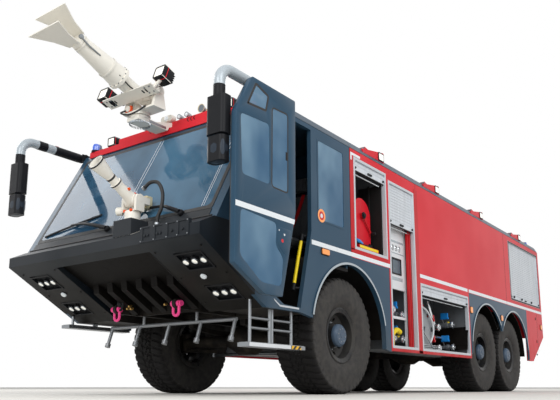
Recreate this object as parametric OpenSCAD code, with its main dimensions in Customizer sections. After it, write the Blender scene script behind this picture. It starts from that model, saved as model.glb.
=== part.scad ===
// Three-axle airport fire truck, standing on its wheels with the left cab door swung out.
// +X is forward, +Y is the truck's left, +Z is up. Z = 0 is the ground, X = 0 the middle
// of the overall length and Y = 0 the middle of the body.

/* [Overall] */
// Width over the bodywork
body_w = 3000; // [2960:10:3040]
// Front axle ahead of the middle of the length
front_axle_x = 2610; // [2580:10:2640]
// Front axle to middle axle
wheelbase = 4730; // [4700:10:4800]
// Middle axle to rear axle
bogie_gap = 1450; // [1420:10:1500]
// Back of the body behind the rear axle
rear_overhang = 2260; // [2200:10:2320]
// Height of the top edge of the sides
side_top_z = 3050; // [3030:10:3080]
// Underside of the side lockers
sill_z = 550; // [530:10:600]
// Lower edge of the upper side panels, under the side stripe
belt_z = 1645; // [1635:5:1655]
// Thickness of the side panels
panel_t = 50; // [40:5:60]

/* [Wheels] */
// Outer diameter of a tyre
tyre_d = 1370; // [1350:10:1390]
// Width of a tyre
tyre_w = 560; // [520:10:570]
// Middle of a wheel inside the bodywork's side
wheel_inset = 310; // [300:5:320]
// Diameter of the bead seat of a rim
rim_seat_d = 580; // [560:10:600]
// Outer diameter of a rim's flange
rim_flange_d = 660; // [640:10:680]
// Radius of a wheel spindle
spindle_r = 55; // [50:1:60]
// Kingpin inside the middle of its wheel
kingpin_inset = 90; // [85:5:95]
// Radius of a kingpin
kingpin_r = 30; // [26:1:32]

/* [Frame] */
// Middle of a frame rail from the truck's middle
rail_y = 425; // [410:5:440]
// Underside of the frame rails
rail_z = 900; // [890:5:920]
// Height of a frame rail
rail_h = 280; // [260:10:280]
// Flange width of a frame rail
rail_w = 90; // [80:5:100]
// Plate thickness of a frame rail
rail_t = 12; // [8:1:16]

/* [Cab] */
// Rear wall of the cab behind the front axle
cab_rear = 130; // [120:10:150]
// Foot of the windscreen ahead of the front axle
screen_foot = 2286; // [2270:5:2300]
// Height of the windscreen's foot
screen_foot_z = 1717; // [1700:5:1730]
// Head of the windscreen ahead of the front axle
screen_head = 1593; // [1580:5:1600]
// Height of the windscreen's head
screen_head_z = 3005; // [2995:5:3010]
// Front face of the bumper ahead of the front axle
nose_reach = 2546; // [2530:5:2560]
// Top edge of the bumper's face
nose_top_z = 1548; // [1540:5:1560]
// Height of the bumper's face
nose_face_h = 111; // [100:5:120]
// Foot of the sloping chin ahead of the front axle
chin_foot = 1560; // [1540:5:1580]
// Height of the chin's foot
chin_z = 868; // [860:5:880]
// Half the width of the recessed middle of the chin
recess_half_w = 740; // [720:5:760]
// Crown of the roofs above the sides' top edge
roof_rise = 70; // [60:5:80]

/* [Cab doors] */
// Thickness of a cab door
door_t = 60; // [50:5:70]
// Rear edge of a closed door ahead of the front axle
door_rear = 750; // [740:5:760]
// Front edge of a closed door ahead of the front axle
door_front = 1685; // [1670:5:1690]
// Underside of a door
door_bottom_z = 925; // [920:5:940]
// Top of a door
door_top_z = 2985; // [2970:5:2990]
// Forward travel of an opened door
door_forward = 750; // [720:10:760]
// Outward travel of an opened door
door_out = 320; // [300:5:330]
// Gap round a closed door
door_gap = 12; // [10:1:16]
// Gap at the front edge, where the door swings past its post
door_gap_front = 30; // [26:1:34]

/* [Monitors] */
// Elevation of the roof monitor's barrel
roof_aim = 19.2; // [15:0.2:24]
// Elevation of the bumper monitor's barrel
bumper_aim = 30; // [24:1:36]
// Bumper monitor left of the truck's middle
bumper_monitor_y = 450; // [430:5:470]
// Height of the roof monitor's trunnions
roof_barrel_z = 3340; // [3334:2:3350]
// Length of the roof monitor's barrel, from its trunnion to the nozzle's lips
roof_barrel_l = 1325; // [1300:5:1360]

/* [Hidden] */
$fn = 64;

// Clearances: seat is the gap left between pieces that rest on each other
seat = 0.3;
bearing = 0.05;

axle_z = tyre_d / 2;
side_y = body_w / 2;
inner_y = side_y - panel_t;
wheel_y = side_y - wheel_inset;
kingpin_y = wheel_y - kingpin_inset;
locker_depth = 600;
middle_axle_x = front_axle_x - wheelbase;
rear_axle_x = middle_axle_x - bogie_gap;
rear_x = rear_axle_x - rear_overhang;
cab_rear_x = front_axle_x - cab_rear;
nose_x = front_axle_x + nose_reach;
chin_x = front_axle_x + chin_foot;
screen_foot_x = front_axle_x + screen_foot;
screen_head_x = front_axle_x + screen_head;
screen_slope = (screen_foot - screen_head) / (screen_head_z - screen_foot_z);
chin_slope = (nose_top_z - nose_face_h - chin_z) / (nose_reach - chin_foot);
function screen_x(z) = screen_foot_x - (z - screen_foot_z) * screen_slope;
function chin_at(x) = chin_z + (x - chin_x) * chin_slope;

// Colours
grey_blue = "#4f5d6b";
fire_red = "#c8202c";
black = "#1c1c1e";
steel = "#9ea3a8";
cream = "#e8e6df";
dark = "#2c2a28";

// Both sides of the truck
module both_sides() {
  children();
  mirror([0, 1, 0]) children();
}

// A plate with outline pts in X and Z, between the planes y0 and y1
module side_plate(pts, y0, y1) {
  translate([0, y1, 0]) rotate([90, 0, 0]) linear_extrude(y1 - y0) polygon(pts);
}

// A box from corner a to corner b
module box(a, b) {
  translate(a) cube(b - a);
}

// A rod of radius r from point a to point b
module rod(a, b, r) {
  d = b - a;
  l = norm(d);
  translate(a) rotate([0, acos(d[2] / l), atan2(d[1], d[0])]) cylinder(r = r, h = l);
}

// A round bar along Y, from y0 to y1
module bar_y(x, z, y0, y1, r) {
  translate([x, y1, z]) rotate([90, 0, 0]) cylinder(r = r, h = y1 - y0);
}

// Chassis frame

// Rear and front ends of the rails, and the stations of the cross members
rail_rear_x = rear_x + 150;
rail_front_x = chin_x - 60;
cross_x = [rail_rear_x + 60, rear_axle_x - 300, (middle_axle_x + rear_axle_x) / 2,
           middle_axle_x + 900, front_axle_x - 1000, front_axle_x + 700, rail_front_x - 60];

// Inner face of a rail's web, less the gap of what is hung between the rails
web_y = rail_y + rail_w / 2 - rail_t - seat;

module rail() {
  difference() {
    box([rail_rear_x, rail_y - rail_w / 2, rail_z], [rail_front_x, rail_y + rail_w / 2, rail_z + rail_h]);
    box([rail_rear_x - 1, rail_y - rail_w / 2 - 1, rail_z + rail_t],
        [rail_front_x + 1, rail_y + rail_w / 2 - rail_t, rail_z + rail_h - rail_t]);
  }
}

// Towing jaw behind the rails and towing lugs under the chin
jaw_x = rear_x + 60;
jaw_z = 930;
jaw_pin_r = 25;
lug_x = front_axle_x + 1790;
lug_y = 472;
lug_z = 955;
lug_pin_r = 22;

module tow_jaw() difference() {
  union() {
    for (s = [-1, 1]) translate([0, 0, jaw_z + s * 42.5]) linear_extrude(25, center = true) {
      translate([jaw_x, 0]) circle(r = 55);
      translate([jaw_x, -55]) square([rail_rear_x + 25 - jaw_x, 110]);
    }
    box([rail_rear_x, -70, jaw_z - 60], [rail_rear_x + 30, 70, jaw_z + 100]);
  }
  translate([jaw_x, 0, jaw_z - 80]) cylinder(r = jaw_pin_r, h = 160);
}

module tow_lug() difference() {
  union() {
    box([rail_front_x - 60, lug_y - 20, lug_z - 50], [lug_x, lug_y + 20, lug_z + 50]);
    bar_y(lug_x, lug_z, lug_y - 20, lug_y + 20, 50);
  }
  bar_y(lug_x, lug_z, lug_y - 30, lug_y + 30, lug_pin_r);
}

module chassis_frame() color(dark) {
  both_sides() rail();
  tow_jaw();
  both_sides() tow_lug();
  box([rail_front_x - 80, -lug_y - 20, lug_z - 50], [rail_front_x - 20, lug_y + 20, lug_z + 50]);
  for (x = cross_x)
    box([x - 40, -rail_y - rail_w / 2 + rail_t, rail_z + 20], [x + 40, rail_y + rail_w / 2 - rail_t, rail_z + 100]);
}

// Shackles hung in the front lugs: a pin with two eyes and a U-shaped bow
shackle_r = 16;
bow_r = 42;

module tow_shackles() color("#e85a9b") both_sides() translate([lug_x, lug_y, lug_z]) {
  bar_y(0, 0, -68, 68, lug_pin_r - seat);
  bar_y(0, 0, 66, 80, 30);
  for (s = [-1, 1]) {
    bar_y(0, 0, s * bow_r - 17, s * bow_r + 17, 34);
    translate([0, s * bow_r, -85]) cylinder(r = shackle_r, h = 70);
  }
  translate([0, 0, -85]) rotate([90, 0, 90]) rotate([0, 0, 180]) rotate_extrude(angle = 180)
    translate([bow_r, 0]) circle(r = shackle_r, $fn = 32);
}

// Axles: a tapered housing round the differential, tubes, and at the ends a kingpin or a spindle

tube_r = 75;
boss_r = 60;
boss_h = 180;
king_h = 270;
spindle_end_y = wheel_y + 180;
diff_r = 190;
// Inner end of a wheel's hub from the wheel's middle
hub_in = 15;

module housing(tube_end) {
  rotate([90, 0, 0]) rotate_extrude() polygon([
    [0, -tube_end], [tube_r, -tube_end], [tube_r, -330], [diff_r, -120], [diff_r, 120],
    [tube_r, 330], [tube_r, tube_end], [0, tube_end]]);
}

module axles() color(dark) {
  springs();
  translate([front_axle_x, 0, axle_z]) {
    housing(kingpin_y);
    for (s = [-1, 1]) translate([0, s * kingpin_y, 0]) {
      cylinder(r = boss_r, h = boss_h, center = true);
      cylinder(r = kingpin_r, h = king_h, center = true);
    }
  }
  for (x = [middle_axle_x, rear_axle_x]) translate([x, 0, axle_z]) {
    housing(wheel_y + hub_in - seat);
    rotate([90, 0, 0]) cylinder(r = spindle_r, h = 2 * spindle_end_y, center = true);
  }
}

// Springs: leaf packs under the rails, with their hangers

leaf_w = 80;
leaf_t = 55;
leaf_sag = 60;
leaf_gap = rail_z - axle_z - tube_r;

module leaf_pack(half_l, z_mid) {
  r = (half_l * half_l + leaf_sag * leaf_sag) / (2 * leaf_sag);
  intersection() {
    translate([0, 0, z_mid + r]) rotate([90, 0, 0]) difference() {
      cylinder(r = r, h = leaf_w, center = true, $fn = 180);
      cylinder(r = r - leaf_t, h = leaf_w + 2, center = true, $fn = 180);
    }
    box([-half_l, -leaf_w / 2, z_mid - 10], [half_l, leaf_w / 2, rail_z]);
  }
}

module springs() both_sides() {
  translate([front_axle_x, rail_y, 0]) {
    leaf_pack(620, axle_z + tube_r + seat);
    for (s = [-1, 1]) box([s * 590 - 40, -leaf_w / 2, rail_z - 75], [s * 590 + 40, leaf_w / 2, rail_z - seat]);
  }
  translate([(middle_axle_x + rear_axle_x) / 2, rail_y, 0]) {
    box([-bogie_gap / 2 - 60, -leaf_w / 2, axle_z + tube_r + seat],
        [bogie_gap / 2 + 60, leaf_w / 2, axle_z + tube_r + seat + leaf_t]);
    box([-110, -leaf_w / 2, axle_z - 40], [110, leaf_w / 2, rail_z - seat]);
  }
}

// Knuckles: two ears on the kingpin, a spindle for the wheel and an arm to the tie rod

ear_t = 38;
arm_back = 320;
arm_y = kingpin_y - 220;
rod_gap = 5;
eye_h = 50;
arm_z = axle_z - boss_h / 2 - ear_t / 2 - seat;
pin_r = 14;

module knuckle(rod_bore) color(dark) translate([front_axle_x, kingpin_y, axle_z]) difference() {
  union() {
    for (s = [-1, 1]) translate([0, 0, s * (boss_h / 2 + ear_t / 2 + seat)]) {
      cylinder(r = boss_r, h = ear_t, center = true);
      translate([-boss_r, 0, -ear_t / 2]) cube([2 * boss_r, 100, ear_t]);
    }
    translate([-boss_r, 72, -boss_h / 2 - ear_t - seat]) cube([2 * boss_r, 28, boss_h + 2 * ear_t + 2 * seat]);
    bar_y(0, 0, 72, spindle_end_y - kingpin_y, spindle_r);
    translate([0, 0, -boss_h / 2 - ear_t / 2 - seat]) linear_extrude(ear_t, center = true) polygon([
      [-boss_r, 20], [-boss_r + 10, -boss_r], [-30, arm_y - kingpin_y + 20],
      [-arm_back - 30, arm_y - kingpin_y + 30], [-arm_back - 30, arm_y - kingpin_y - 30],
      [30, arm_y - kingpin_y - 30], [boss_r - 10, -boss_r + 10]]);
  }
  cylinder(r = kingpin_r + bearing, h = king_h + 60, center = true);
  if (rod_bore) translate([-arm_back, arm_y - kingpin_y, 0])
    cylinder(r = pin_r + bearing, h = 400, center = true);
}

module knuckle_left() knuckle(true);
module knuckle_right() mirror([0, 1, 0]) knuckle(false);

// Tie rod: a tube between two eyes under the knuckles' arms, pinned to the left one

rod_z = arm_z - ear_t / 2 - rod_gap - eye_h / 2;

module tie_rod() color(steel) translate([front_axle_x - arm_back, 0, rod_z]) {
  bar_y(0, 0, -arm_y + 20, arm_y - 20, 22);
  for (s = [-1, 1]) translate([0, s * arm_y, 0]) cylinder(r = 30, h = eye_h, center = true);
  translate([0, arm_y, 0]) cylinder(r = pin_r, h = eye_h / 2 + rod_gap + ear_t - 4);
}

// Driveline: transfer case, gearbox and propeller shafts

shaft_r = 42;
case_x = -150;

module driveline() color(dark) {
  box([case_x - 260, -300, 720], [case_x + 260, 300, 1120]);
  for (x = [case_x - 180, case_x + 180]) box([x - 30, -web_y, 1000], [x + 30, web_y, 1060]);
  rod([case_x + 260, 0, axle_z + 60], [front_axle_x - diff_r - seat, 0, axle_z + 20], shaft_r);
  rod([middle_axle_x + diff_r + seat, 0, axle_z + 20], [case_x - 260, 0, axle_z + 60], shaft_r);
  rod([rear_axle_x + diff_r + seat, 0, axle_z], [middle_axle_x - diff_r - seat, 0, axle_z], shaft_r);
  rod([case_x - 260, 0, 1060], [rear_axle_x - 430 + seat, 0, 1060], shaft_r);
}

// Engine: one block at its real place behind the rear axle

engine_l = 1450;
module engine() color(steel) {
  for (x = [250, engine_l - 250]) box([rear_axle_x - 430 - x - 50, -web_y, 940], [rear_axle_x - 430 - x + 50, web_y, 1020]);
  box([rear_axle_x - 430 - engine_l, -rail_y + rail_w / 2 + 10, 830], [rear_axle_x - 430, rail_y - rail_w / 2 - 10, 1950]);
}

// Water tank on the frame, and air tanks on the rails' outer sides

module water_tank() color("#8d9aa3") {
  half_w = inner_y - locker_depth - 70;
  box([rear_axle_x - 200, -half_w, rail_z + rail_h + seat], [front_axle_x - 700, half_w, side_top_z - 200]);
}

air_tank_r = 110;
air_tank_y = rail_y + rail_w / 2 + air_tank_r + seat;

module air_tanks() color(black) both_sides()
  for (x = [-1250, -250, 300]) bar_x(x - 190, x + 190, air_tank_y, rail_z + 130, air_tank_r);

// Wheels

wheel_off = 60;
groove = 14;
// Middle of a tyre's side wall
wall_r = (rim_flange_d + tyre_d - 70) / 4;

// Half section of the tyre in radius and width, with arcs for the shoulder and the side wall
function tyre_half() = concat(
  [[rim_seat_d / 2 + seat, 0], [rim_seat_d / 2 + seat, 207], [rim_flange_d / 2 + 4, 221]],
  [for (a = [-60:20:60]) [wall_r + (wall_r - 360) * sin(a), tyre_w / 2 - 42 + 42 * cos(a) - 4]],
  [for (a = [70:-35:0]) [tyre_d / 2 - 60 + 60 * cos(a), tyre_w / 2 - 68 + 60 * sin(a)]],
  [for (g = [140, 45]) each [[tyre_d / 2, g + 12], [tyre_d / 2 - groove, g + 10],
                             [tyre_d / 2 - groove, g - 10], [tyre_d / 2, g - 12]]]);

module tyre() color(black) rotate([90, 0, 0]) rotate_extrude($fn = 96) union() {
  polygon(concat(tyre_half(), [[tyre_d / 2, 0]]));
  mirror([0, 1]) polygon(concat(tyre_half(), [[tyre_d / 2, 0]]));
}

// Rim: a flanged barrel, a dished disc with hand holes and a hub bored for the spindle
module rim() color(black) difference() {
  rotate([-90, 0, 0]) rotate_extrude() polygon([
    [spindle_r + bearing, hub_in], [135, hub_in], [150, wheel_off - 20], [rim_seat_d / 2 - 30, wheel_off + 30],
    [rim_seat_d / 2 - 18, -215], [rim_flange_d / 2 - 12, -232], [rim_flange_d / 2, -228],
    [rim_flange_d / 2, -222], [rim_seat_d / 2, -208], [rim_seat_d / 2, 208],
    [rim_flange_d / 2, 222], [rim_flange_d / 2, 228], [rim_flange_d / 2 - 12, 232],
    [rim_seat_d / 2 - 18, 215], [rim_seat_d / 2 - 30, wheel_off + 54], [165, wheel_off], [135, wheel_off + 20],
    [125, 215], [100, 235], [0, 235], [0, 185], [spindle_r + bearing, 185]]);
  for (a = [0:36:359]) rotate([0, a, 0]) translate([212, 0, 0]) bar_y(0, 0, -60, 140, 20);
}

module wheel_at(x, s) translate([x, s * wheel_y, axle_z]) rotate([0, 0, s > 0 ? 0 : 180]) children();

// Cab

cab_roof_t = 50;
floor_t = 40;
step_wall_x = front_axle_x + tyre_d / 2 + 135;
upper_floor_z = tyre_d + 130;

// Outline of a door, grown by g, and by gf at its front edge
function door_outline(g, gf) = [
  [front_axle_x + door_rear - g, door_top_z + g], [front_axle_x + door_rear - g, 1800],
  [front_axle_x + door_rear + 222 - g, door_bottom_z - g], [front_axle_x + 1250 + gf / 2, door_bottom_z - g + 12],
  [front_axle_x + door_front + gf, 1155 - g], [front_axle_x + door_front + gf, 2574 + g],
  [front_axle_x + 1457 + gf, door_top_z + g]];

nose_seam_x = front_axle_x + 1745;
nose_seam_z = 1640;

// Rear edge of the door opening under the belt line
function opening_x(z) = front_axle_x + door_rear - door_gap + 222 * (1800 - z) / (1800 - door_bottom_z + door_gap);
sill_x = opening_x(door_bottom_z - door_gap);

module cab_side() difference() {
  side_plate([
    [cab_rear_x, belt_z], [cab_rear_x, side_top_z], [screen_x(side_top_z), side_top_z],
    [screen_x(nose_seam_z), nose_seam_z], [nose_seam_x, nose_seam_z], [nose_seam_x, chin_at(nose_seam_x)],
    [chin_x, chin_z], [sill_x + seat, chin_z], [sill_x + seat, door_bottom_z + 25],
    [sill_x + 130, door_bottom_z + 25], [sill_x + 130, belt_z]], inner_y, side_y);
  side_plate(door_outline(door_gap, door_gap_front), inner_y - 1, side_y + 1);
  side_plate(cab_window(0), inner_y - 1, side_y + 1);
}

// Fixed window behind the door, shrunk by c
function cab_window(c) = [
  [front_axle_x + 20 + c, 1960 + c], [front_axle_x + 20 + c, 2930 - c],
  [front_axle_x + 600 - c, 2930 - c], [front_axle_x + 600 - c, 1960 + c]];

// The sides and the rear wall, with the upper bearings of the doors' columns on the windscreen pillars
column_x = front_axle_x + 1640;
column_y = side_y - 160;
column_r = 28;
bearing_z = 2500;

module cab_sides() color(grey_blue) {
  end_wall(cab_rear_x, cab_rear_x + 40, upper_floor_z + seat);
  both_sides() {
    cab_side();
    difference() {
      union() {
        box([column_x - 45, column_y - 40, bearing_z], [column_x + 110, column_y + 40, bearing_z + 30]);
        box([column_x + 80, column_y, bearing_z], [column_x + 110, inner_y, bearing_z + 30]);
      }
      translate([column_x, column_y, bearing_z - 1]) cylinder(r = column_r + bearing, h = 32);
    }
  }
}

// Floor: wheel boxes, main floor over the frame, toe board, and a stair well behind each door
main_floor_z = rail_z + rail_h + seat;
well_y = side_y - 600;
toe_x = front_axle_x + 1850;
toe_end_x = front_axle_x + 2250;
toe_step_z = 1060;
function toe_top(x) = main_floor_z + floor_t + (x - toe_x + 15) * chin_slope;

module stair_well() difference() {
  union() {
    box([step_wall_x - floor_t, rail_y + rail_w / 2 + 10, chin_z], [step_wall_x, inner_y - seat, upper_floor_z]);
    box([step_wall_x - floor_t, well_y - 20, chin_z], [chin_x - 8, inner_y - seat, chin_z + floor_t]);
    side_plate([[step_wall_x - floor_t, chin_z], [chin_x - 8, chin_z], [chin_x + 30, chin_z + 67],
      [column_x + 100, chin_at(column_x + 100) + 70], [column_x + 100, main_floor_z + floor_t],
      [step_wall_x - floor_t, main_floor_z + floor_t]], well_y - 20, well_y);
    side_plate([[chin_x - 30, chin_z], [chin_x - 8, chin_z], [chin_x + 30, chin_z + 67],
      [column_x + 100, chin_at(column_x + 100) + 70], [column_x + 100, toe_step_z], [chin_x - 30, toe_step_z]],
      well_y, inner_y - seat);
    translate([column_x, column_y, toe_step_z]) cylinder(r = 45, h = 60);
  }
  translate([column_x, column_y, toe_step_z + 5]) cylinder(r = column_r + bearing, h = 60);
}

module cab_floor() color(dark) {
  both_sides() stair_well();
  box([cab_rear_x, -inner_y + seat, upper_floor_z - floor_t], [step_wall_x, inner_y - seat, upper_floor_z]);
  box([step_wall_x - floor_t, -rail_y - rail_w / 2 - 10, main_floor_z], [step_wall_x, rail_y + rail_w / 2 + 10, upper_floor_z]);
  side_plate([[step_wall_x - floor_t, main_floor_z], [toe_x, main_floor_z],
    [toe_end_x, main_floor_z + (toe_end_x - toe_x) * chin_slope], [toe_end_x, toe_top(toe_end_x)],
    [toe_x - 15, main_floor_z + floor_t], [step_wall_x - floor_t, main_floor_z + floor_t]], -well_y + 20, well_y - 20);
}

// An end wall from x0 to x1, from z0 up into the roof
module end_wall(x0, x1, z0) translate([x0, 0, 0]) rotate([90, 0, 90]) linear_extrude(x1 - x0) polygon([
  [-inner_y + seat, z0], [-inner_y + seat, side_top_z - seat], [-side_y + 91, side_top_z - seat],
  [-side_y + 112, side_top_z + roof_rise - cab_roof_t - seat], [side_y - 112, side_top_z + roof_rise - cab_roof_t - seat],
  [side_y - 91, side_top_z - seat], [inner_y - seat, side_top_z - seat], [inner_y - seat, z0]]);

// Roof section in Y and Z: flat middle, chamfered edges, thickness t
module roof_section(t) difference() {
  polygon([[-side_y, side_top_z + seat], [-side_y + 70, side_top_z + roof_rise], [side_y - 70, side_top_z + roof_rise],
           [side_y, side_top_z + seat]]);
  polygon([[-side_y + 90, side_top_z + seat - 1], [-side_y + 110, side_top_z + roof_rise - t],
           [side_y - 110, side_top_z + roof_rise - t], [side_y - 90, side_top_z + seat - 1]]);
}

module cab_roof() color(grey_blue)
  translate([cab_rear_x, 0, 0]) rotate([90, 0, 90]) linear_extrude(roof_front_x - cab_rear_x) roof_section(cab_roof_t);

// Windscreen frame: a sloping plate with the window cut, and the glass in it
screen_t = 50;
glass_t = 12;
screen_lean = atan(screen_slope);
screen_l = norm([screen_foot - screen_head, screen_head_z - screen_foot_z]);

// Places children in the plane of the windscreen: X across, Y up the glass, Z forward
module on_screen() translate([screen_foot_x, 0, screen_foot_z]) rotate([90 - screen_lean, 0, 90]) children();

module windscreen_frame() color(grey_blue) on_screen() translate([0, 0, -screen_t]) linear_extrude(screen_t) difference() {
  translate([-inner_y + seat, -80]) square([2 * inner_y - 2 * seat, screen_l + 120]);
  translate([-inner_y + 100, 40]) square([2 * inner_y - 200, screen_l - 90]);
}

module cab_glass() color([0.5, 0.65, 0.75, 0.4]) {
  on_screen() translate([0, 0, -20 - glass_t]) linear_extrude(glass_t)
    translate([-inner_y + 100 + seat, 40 + seat]) square([2 * inner_y - 200 - 2 * seat, screen_l - 90 - 2 * seat]);
  both_sides() side_plate(cab_window(seat), side_y - 20 - glass_t, side_y - 20);
}

// Dashboard on the toe board, with a boss for the steering column on its sloping face
dash_foot = front_axle_x + 1790;
dash_lean = 46;
wheel_shaft_r = 12;
wheel_ring_r = 230;

// Places children on the dashboard's face, Z pointing at the driver
module on_dash() translate([dash_foot + 75, 0, 1727]) rotate([0, -dash_lean, 0]) children();

module dashboard() color(black) difference() {
  union() {
    side_plate([[dash_foot + 387, 1780], [dash_foot + 150, 1805], [dash_foot, 1650], [dash_foot + 30, 1500],
      [dash_foot + 120, 1420], [dash_foot + 120, toe_top(dash_foot + 120) + seat],
      [dash_foot + 300, toe_top(dash_foot + 300) + seat], [dash_foot + 300, 1500], [dash_foot + 455, 1600],
      [dash_foot + 455, 1640]], -well_y + 30, well_y - 30);
    for (s = [-1, 1]) side_plate([[dash_foot + 387, 1780], [dash_foot + 150, 1805], [dash_foot, 1650], [dash_foot + 30, 1500],
      [dash_foot + 455, 1600], [dash_foot + 455, 1640]], s * (well_y + 110) - 190, s * (well_y + 110) + 190);
    on_dash() cylinder(r = 35, h = 150);
  }
  on_dash() translate([0, 0, 60]) cylinder(r = wheel_shaft_r + bearing, h = 100);
}

module steering_wheel() color(black) on_dash() {
  translate([0, 0, 75]) cylinder(r = wheel_shaft_r, h = 170);
  translate([0, 0, 215]) cylinder(r = 45, h = 35);
  translate([0, 0, 240]) rotate_extrude() translate([wheel_ring_r, 0]) circle(r = 15, $fn = 24);
  for (a = [0, 120, 240]) rotate(a) box([30, -16, 225], [wheel_ring_r - 5, 16, 245]);
}

module seat_at(x, y, z) translate([x, y, z]) {
  box([-180, -180, 0], [180, 180, 210]);
  side_plate([[-240, 200], [-240, 300], [-120, 330], [240, 330], [275, 300], [275, 250], [240, 200]], -240, 240);
  for (s = [-1, 1]) side_plate([[-190, 329], [250, 329], [230, 365], [-160, 365]], s * 215 - 25, s * 215 + 25);
  side_plate([[-240, 201], [-330, 960], [-280, 985], [-215, 960], [-120, 331]], -230, 230);
  side_plate([[-318, 984], [-335, 1160], [-300, 1185], [-240, 1160], [-235, 986]], -130, 130);
}

module seats() color(dark) {
  seat_at(front_axle_x + 1250, 0, main_floor_z + floor_t + seat);
  for (s = [-1, 1]) seat_at(front_axle_x + 400, s * well_y, upper_floor_z + seat);
}

// Cab doors

hang_y = side_y - door_t - 25;
hang_x = column_x - door_forward / 2 + (column_y - hang_y - door_out / 2) * door_out / door_forward;
arm_l = norm([column_x - hang_x, column_y - hang_y]);
closed_angle = atan2(hang_y - column_y, hang_x - column_x);
open_angle = atan2(hang_y + door_out - column_y, hang_x + door_forward - column_x);
arm_heights = [1780, 2620];
arm_t = 30;
arm_pin_r = 12;
hook_r = 18;

door_windows = [
  [[1622, 2563], [1214, 2583], [1195, 1984], [1591, 1987]],
  [[1135, 2787], [882, 2801], [884, 1960], [1147, 1966]],
  [[1405, 2945], [1539, 2680], [1232, 2700], [1190, 2880]],
  [[1607, 1660], [1066, 1628], [1082, 1410], [959, 1304], [992, 1023], [1295, 1027], [1613, 1237]]];

function door_window(i) = [for (p = door_windows[i]) [front_axle_x + p[0], p[1]]];

module door_closed() {
  difference() {
    side_plate(door_outline(0, 0), side_y - door_t, side_y);
    for (i = [0:3]) side_plate(door_window(i), side_y - door_t - 1, side_y + 1);
  }
  for (z = arm_heights) difference() {
    box([hang_x - 20, side_y - door_t - 47, z + arm_t / 2 + 1], [hang_x + 20, side_y - door_t, z + arm_t / 2 + 31]);
    translate([hang_x, hang_y, z]) cylinder(r = arm_pin_r + bearing, h = 60);
  }
}

module door_glass_closed() for (i = [0:3])
  side_plate(door_window(i), side_y - 30, side_y - 30 + glass_t);

// Column and cranked arms of the left door as it stands, open
module door_arm_open() {
  crank = [column_x, column_y + 270];
  hook = [hang_x + door_forward, hang_y + door_out];
  translate([column_x, column_y, toe_step_z + 5 + seat]) cylinder(r = column_r, h = 1585);
  for (z = arm_heights) translate([0, 0, z]) {
    linear_extrude(arm_t, center = true) {
      translate([column_x - 22, column_y]) square([44, 270]);
      translate(crank) rotate(atan2(hook[1] - crank[1], hook[0] - crank[0])) translate([0, -hook_r]) square([norm(hook - crank), 2 * hook_r]);
      translate(crank) circle(r = 22);
      translate(hook) circle(r = hook_r);
    }
    translate([hook[0], hook[1], -arm_t / 2]) cylinder(r = arm_pin_r, h = arm_t + 31);
  }
}

module door_left() color(grey_blue) translate([door_forward, door_out, 0]) door_closed();
module door_glass_left() color([0.5, 0.65, 0.75, 0.4]) translate([door_forward, door_out, 0]) door_glass_closed();
module door_arm_left() color(black) door_arm_open();
module door_right() color(grey_blue) mirror([0, 1, 0]) door_closed();
module door_glass_right() color([0.5, 0.65, 0.75, 0.4]) mirror([0, 1, 0]) door_glass_closed();
module door_arm_right() color(black) mirror([0, 1, 0]) translate([column_x, column_y, 0])
  rotate(closed_angle - open_angle) translate([-column_x, -column_y, 0]) door_arm_open();

// Nose: a hollow wedge of plates with the sloping chin, open at the recess and the lamp pockets

nose_t = 30;
chin_angle = atan(chin_slope);
chin_up = nose_t / cos(chin_angle);
deck_end_x = front_axle_x + 2332;
deck_slope = 0.478;
function deck_z(x) = nose_top_z + (nose_x - x) * deck_slope;

// Places children on the chin at x: X up the slope, Z into the nose
module on_chin(x) translate([x, 0, chin_at(x)]) rotate([0, -chin_angle, 0]) children();

// Rows of three lamps: station ahead of the front axle and the lamps' radius
lamp_rows = [[2255, 45], [1815, 48]];
lamp_ys = [side_y - 445, side_y - 330, side_y - 215];

module nose_profile(y0, y1) side_plate([
  [nose_x, nose_top_z], [nose_x, nose_top_z - nose_face_h], [chin_x, chin_z], [chin_x + 40, chin_at(chin_x + 40) + chin_up],
  [nose_x - nose_t, chin_at(nose_x - nose_t) + chin_up], [nose_x - nose_t, deck_z(nose_x - nose_t) - nose_t],
  [deck_end_x, deck_z(deck_end_x) - nose_t], [deck_end_x, deck_z(deck_end_x)]], y0, y1);

module nose() color(dark) {
  difference() {
    nose_profile(-inner_y, inner_y);
    box([chin_x - 100, -recess_half_w, chin_z - 100], [nose_x - 110, recess_half_w, nose_top_z - 10]);
    both_sides() for (l = lamp_rows)
      on_chin(front_axle_x + l[0]) box([-135, lamp_ys[0] - 65, -20], [135, lamp_ys[2] + 65, nose_t + 20]);
  }
  difference() {
    box([nose_x - 30, 720, nose_top_z - nose_face_h + 5], [nose_x + 8, 1370, nose_top_z + 50]);
    for (y = [760, 930, 1100, 1240]) box([nose_x, y, nose_top_z - nose_face_h + 22], [nose_x + 9, y + 100, nose_top_z + 34]);
  }
  for (y = [790, 830, 960, 1000, 1150, 1290]) rod([nose_x - 10, y, nose_top_z - 40], [nose_x + 14, y, nose_top_z - 40], 13);
  side_plate([[nose_x - 120, deck_z(nose_x - 120)], [nose_x - 120, deck_z(nose_x - 120) - nose_t],
    [deck_end_x, deck_z(deck_end_x) - nose_t], [deck_end_x, deck_z(deck_end_x)]], -inner_y, inner_y);
  both_sides() {
    side_plate([
      [nose_x, nose_top_z], [nose_x, nose_top_z - nose_face_h], [nose_seam_x + seat, chin_at(nose_seam_x + seat)],
      [nose_seam_x + seat, nose_seam_z - seat], [deck_end_x, nose_seam_z - seat], [deck_end_x + 20, deck_z(deck_end_x + 20)]],
      inner_y, side_y);
    side_plate([[chin_x + 100, chin_at(chin_x + 100)], [nose_x - 100, chin_at(nose_x - 100)],
      [nose_x - 100, chin_at(nose_x - 100) + 60], [chin_x + 100, chin_at(chin_x + 100) + 145]],
      recess_half_w, recess_half_w + 20);
  }
}

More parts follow.
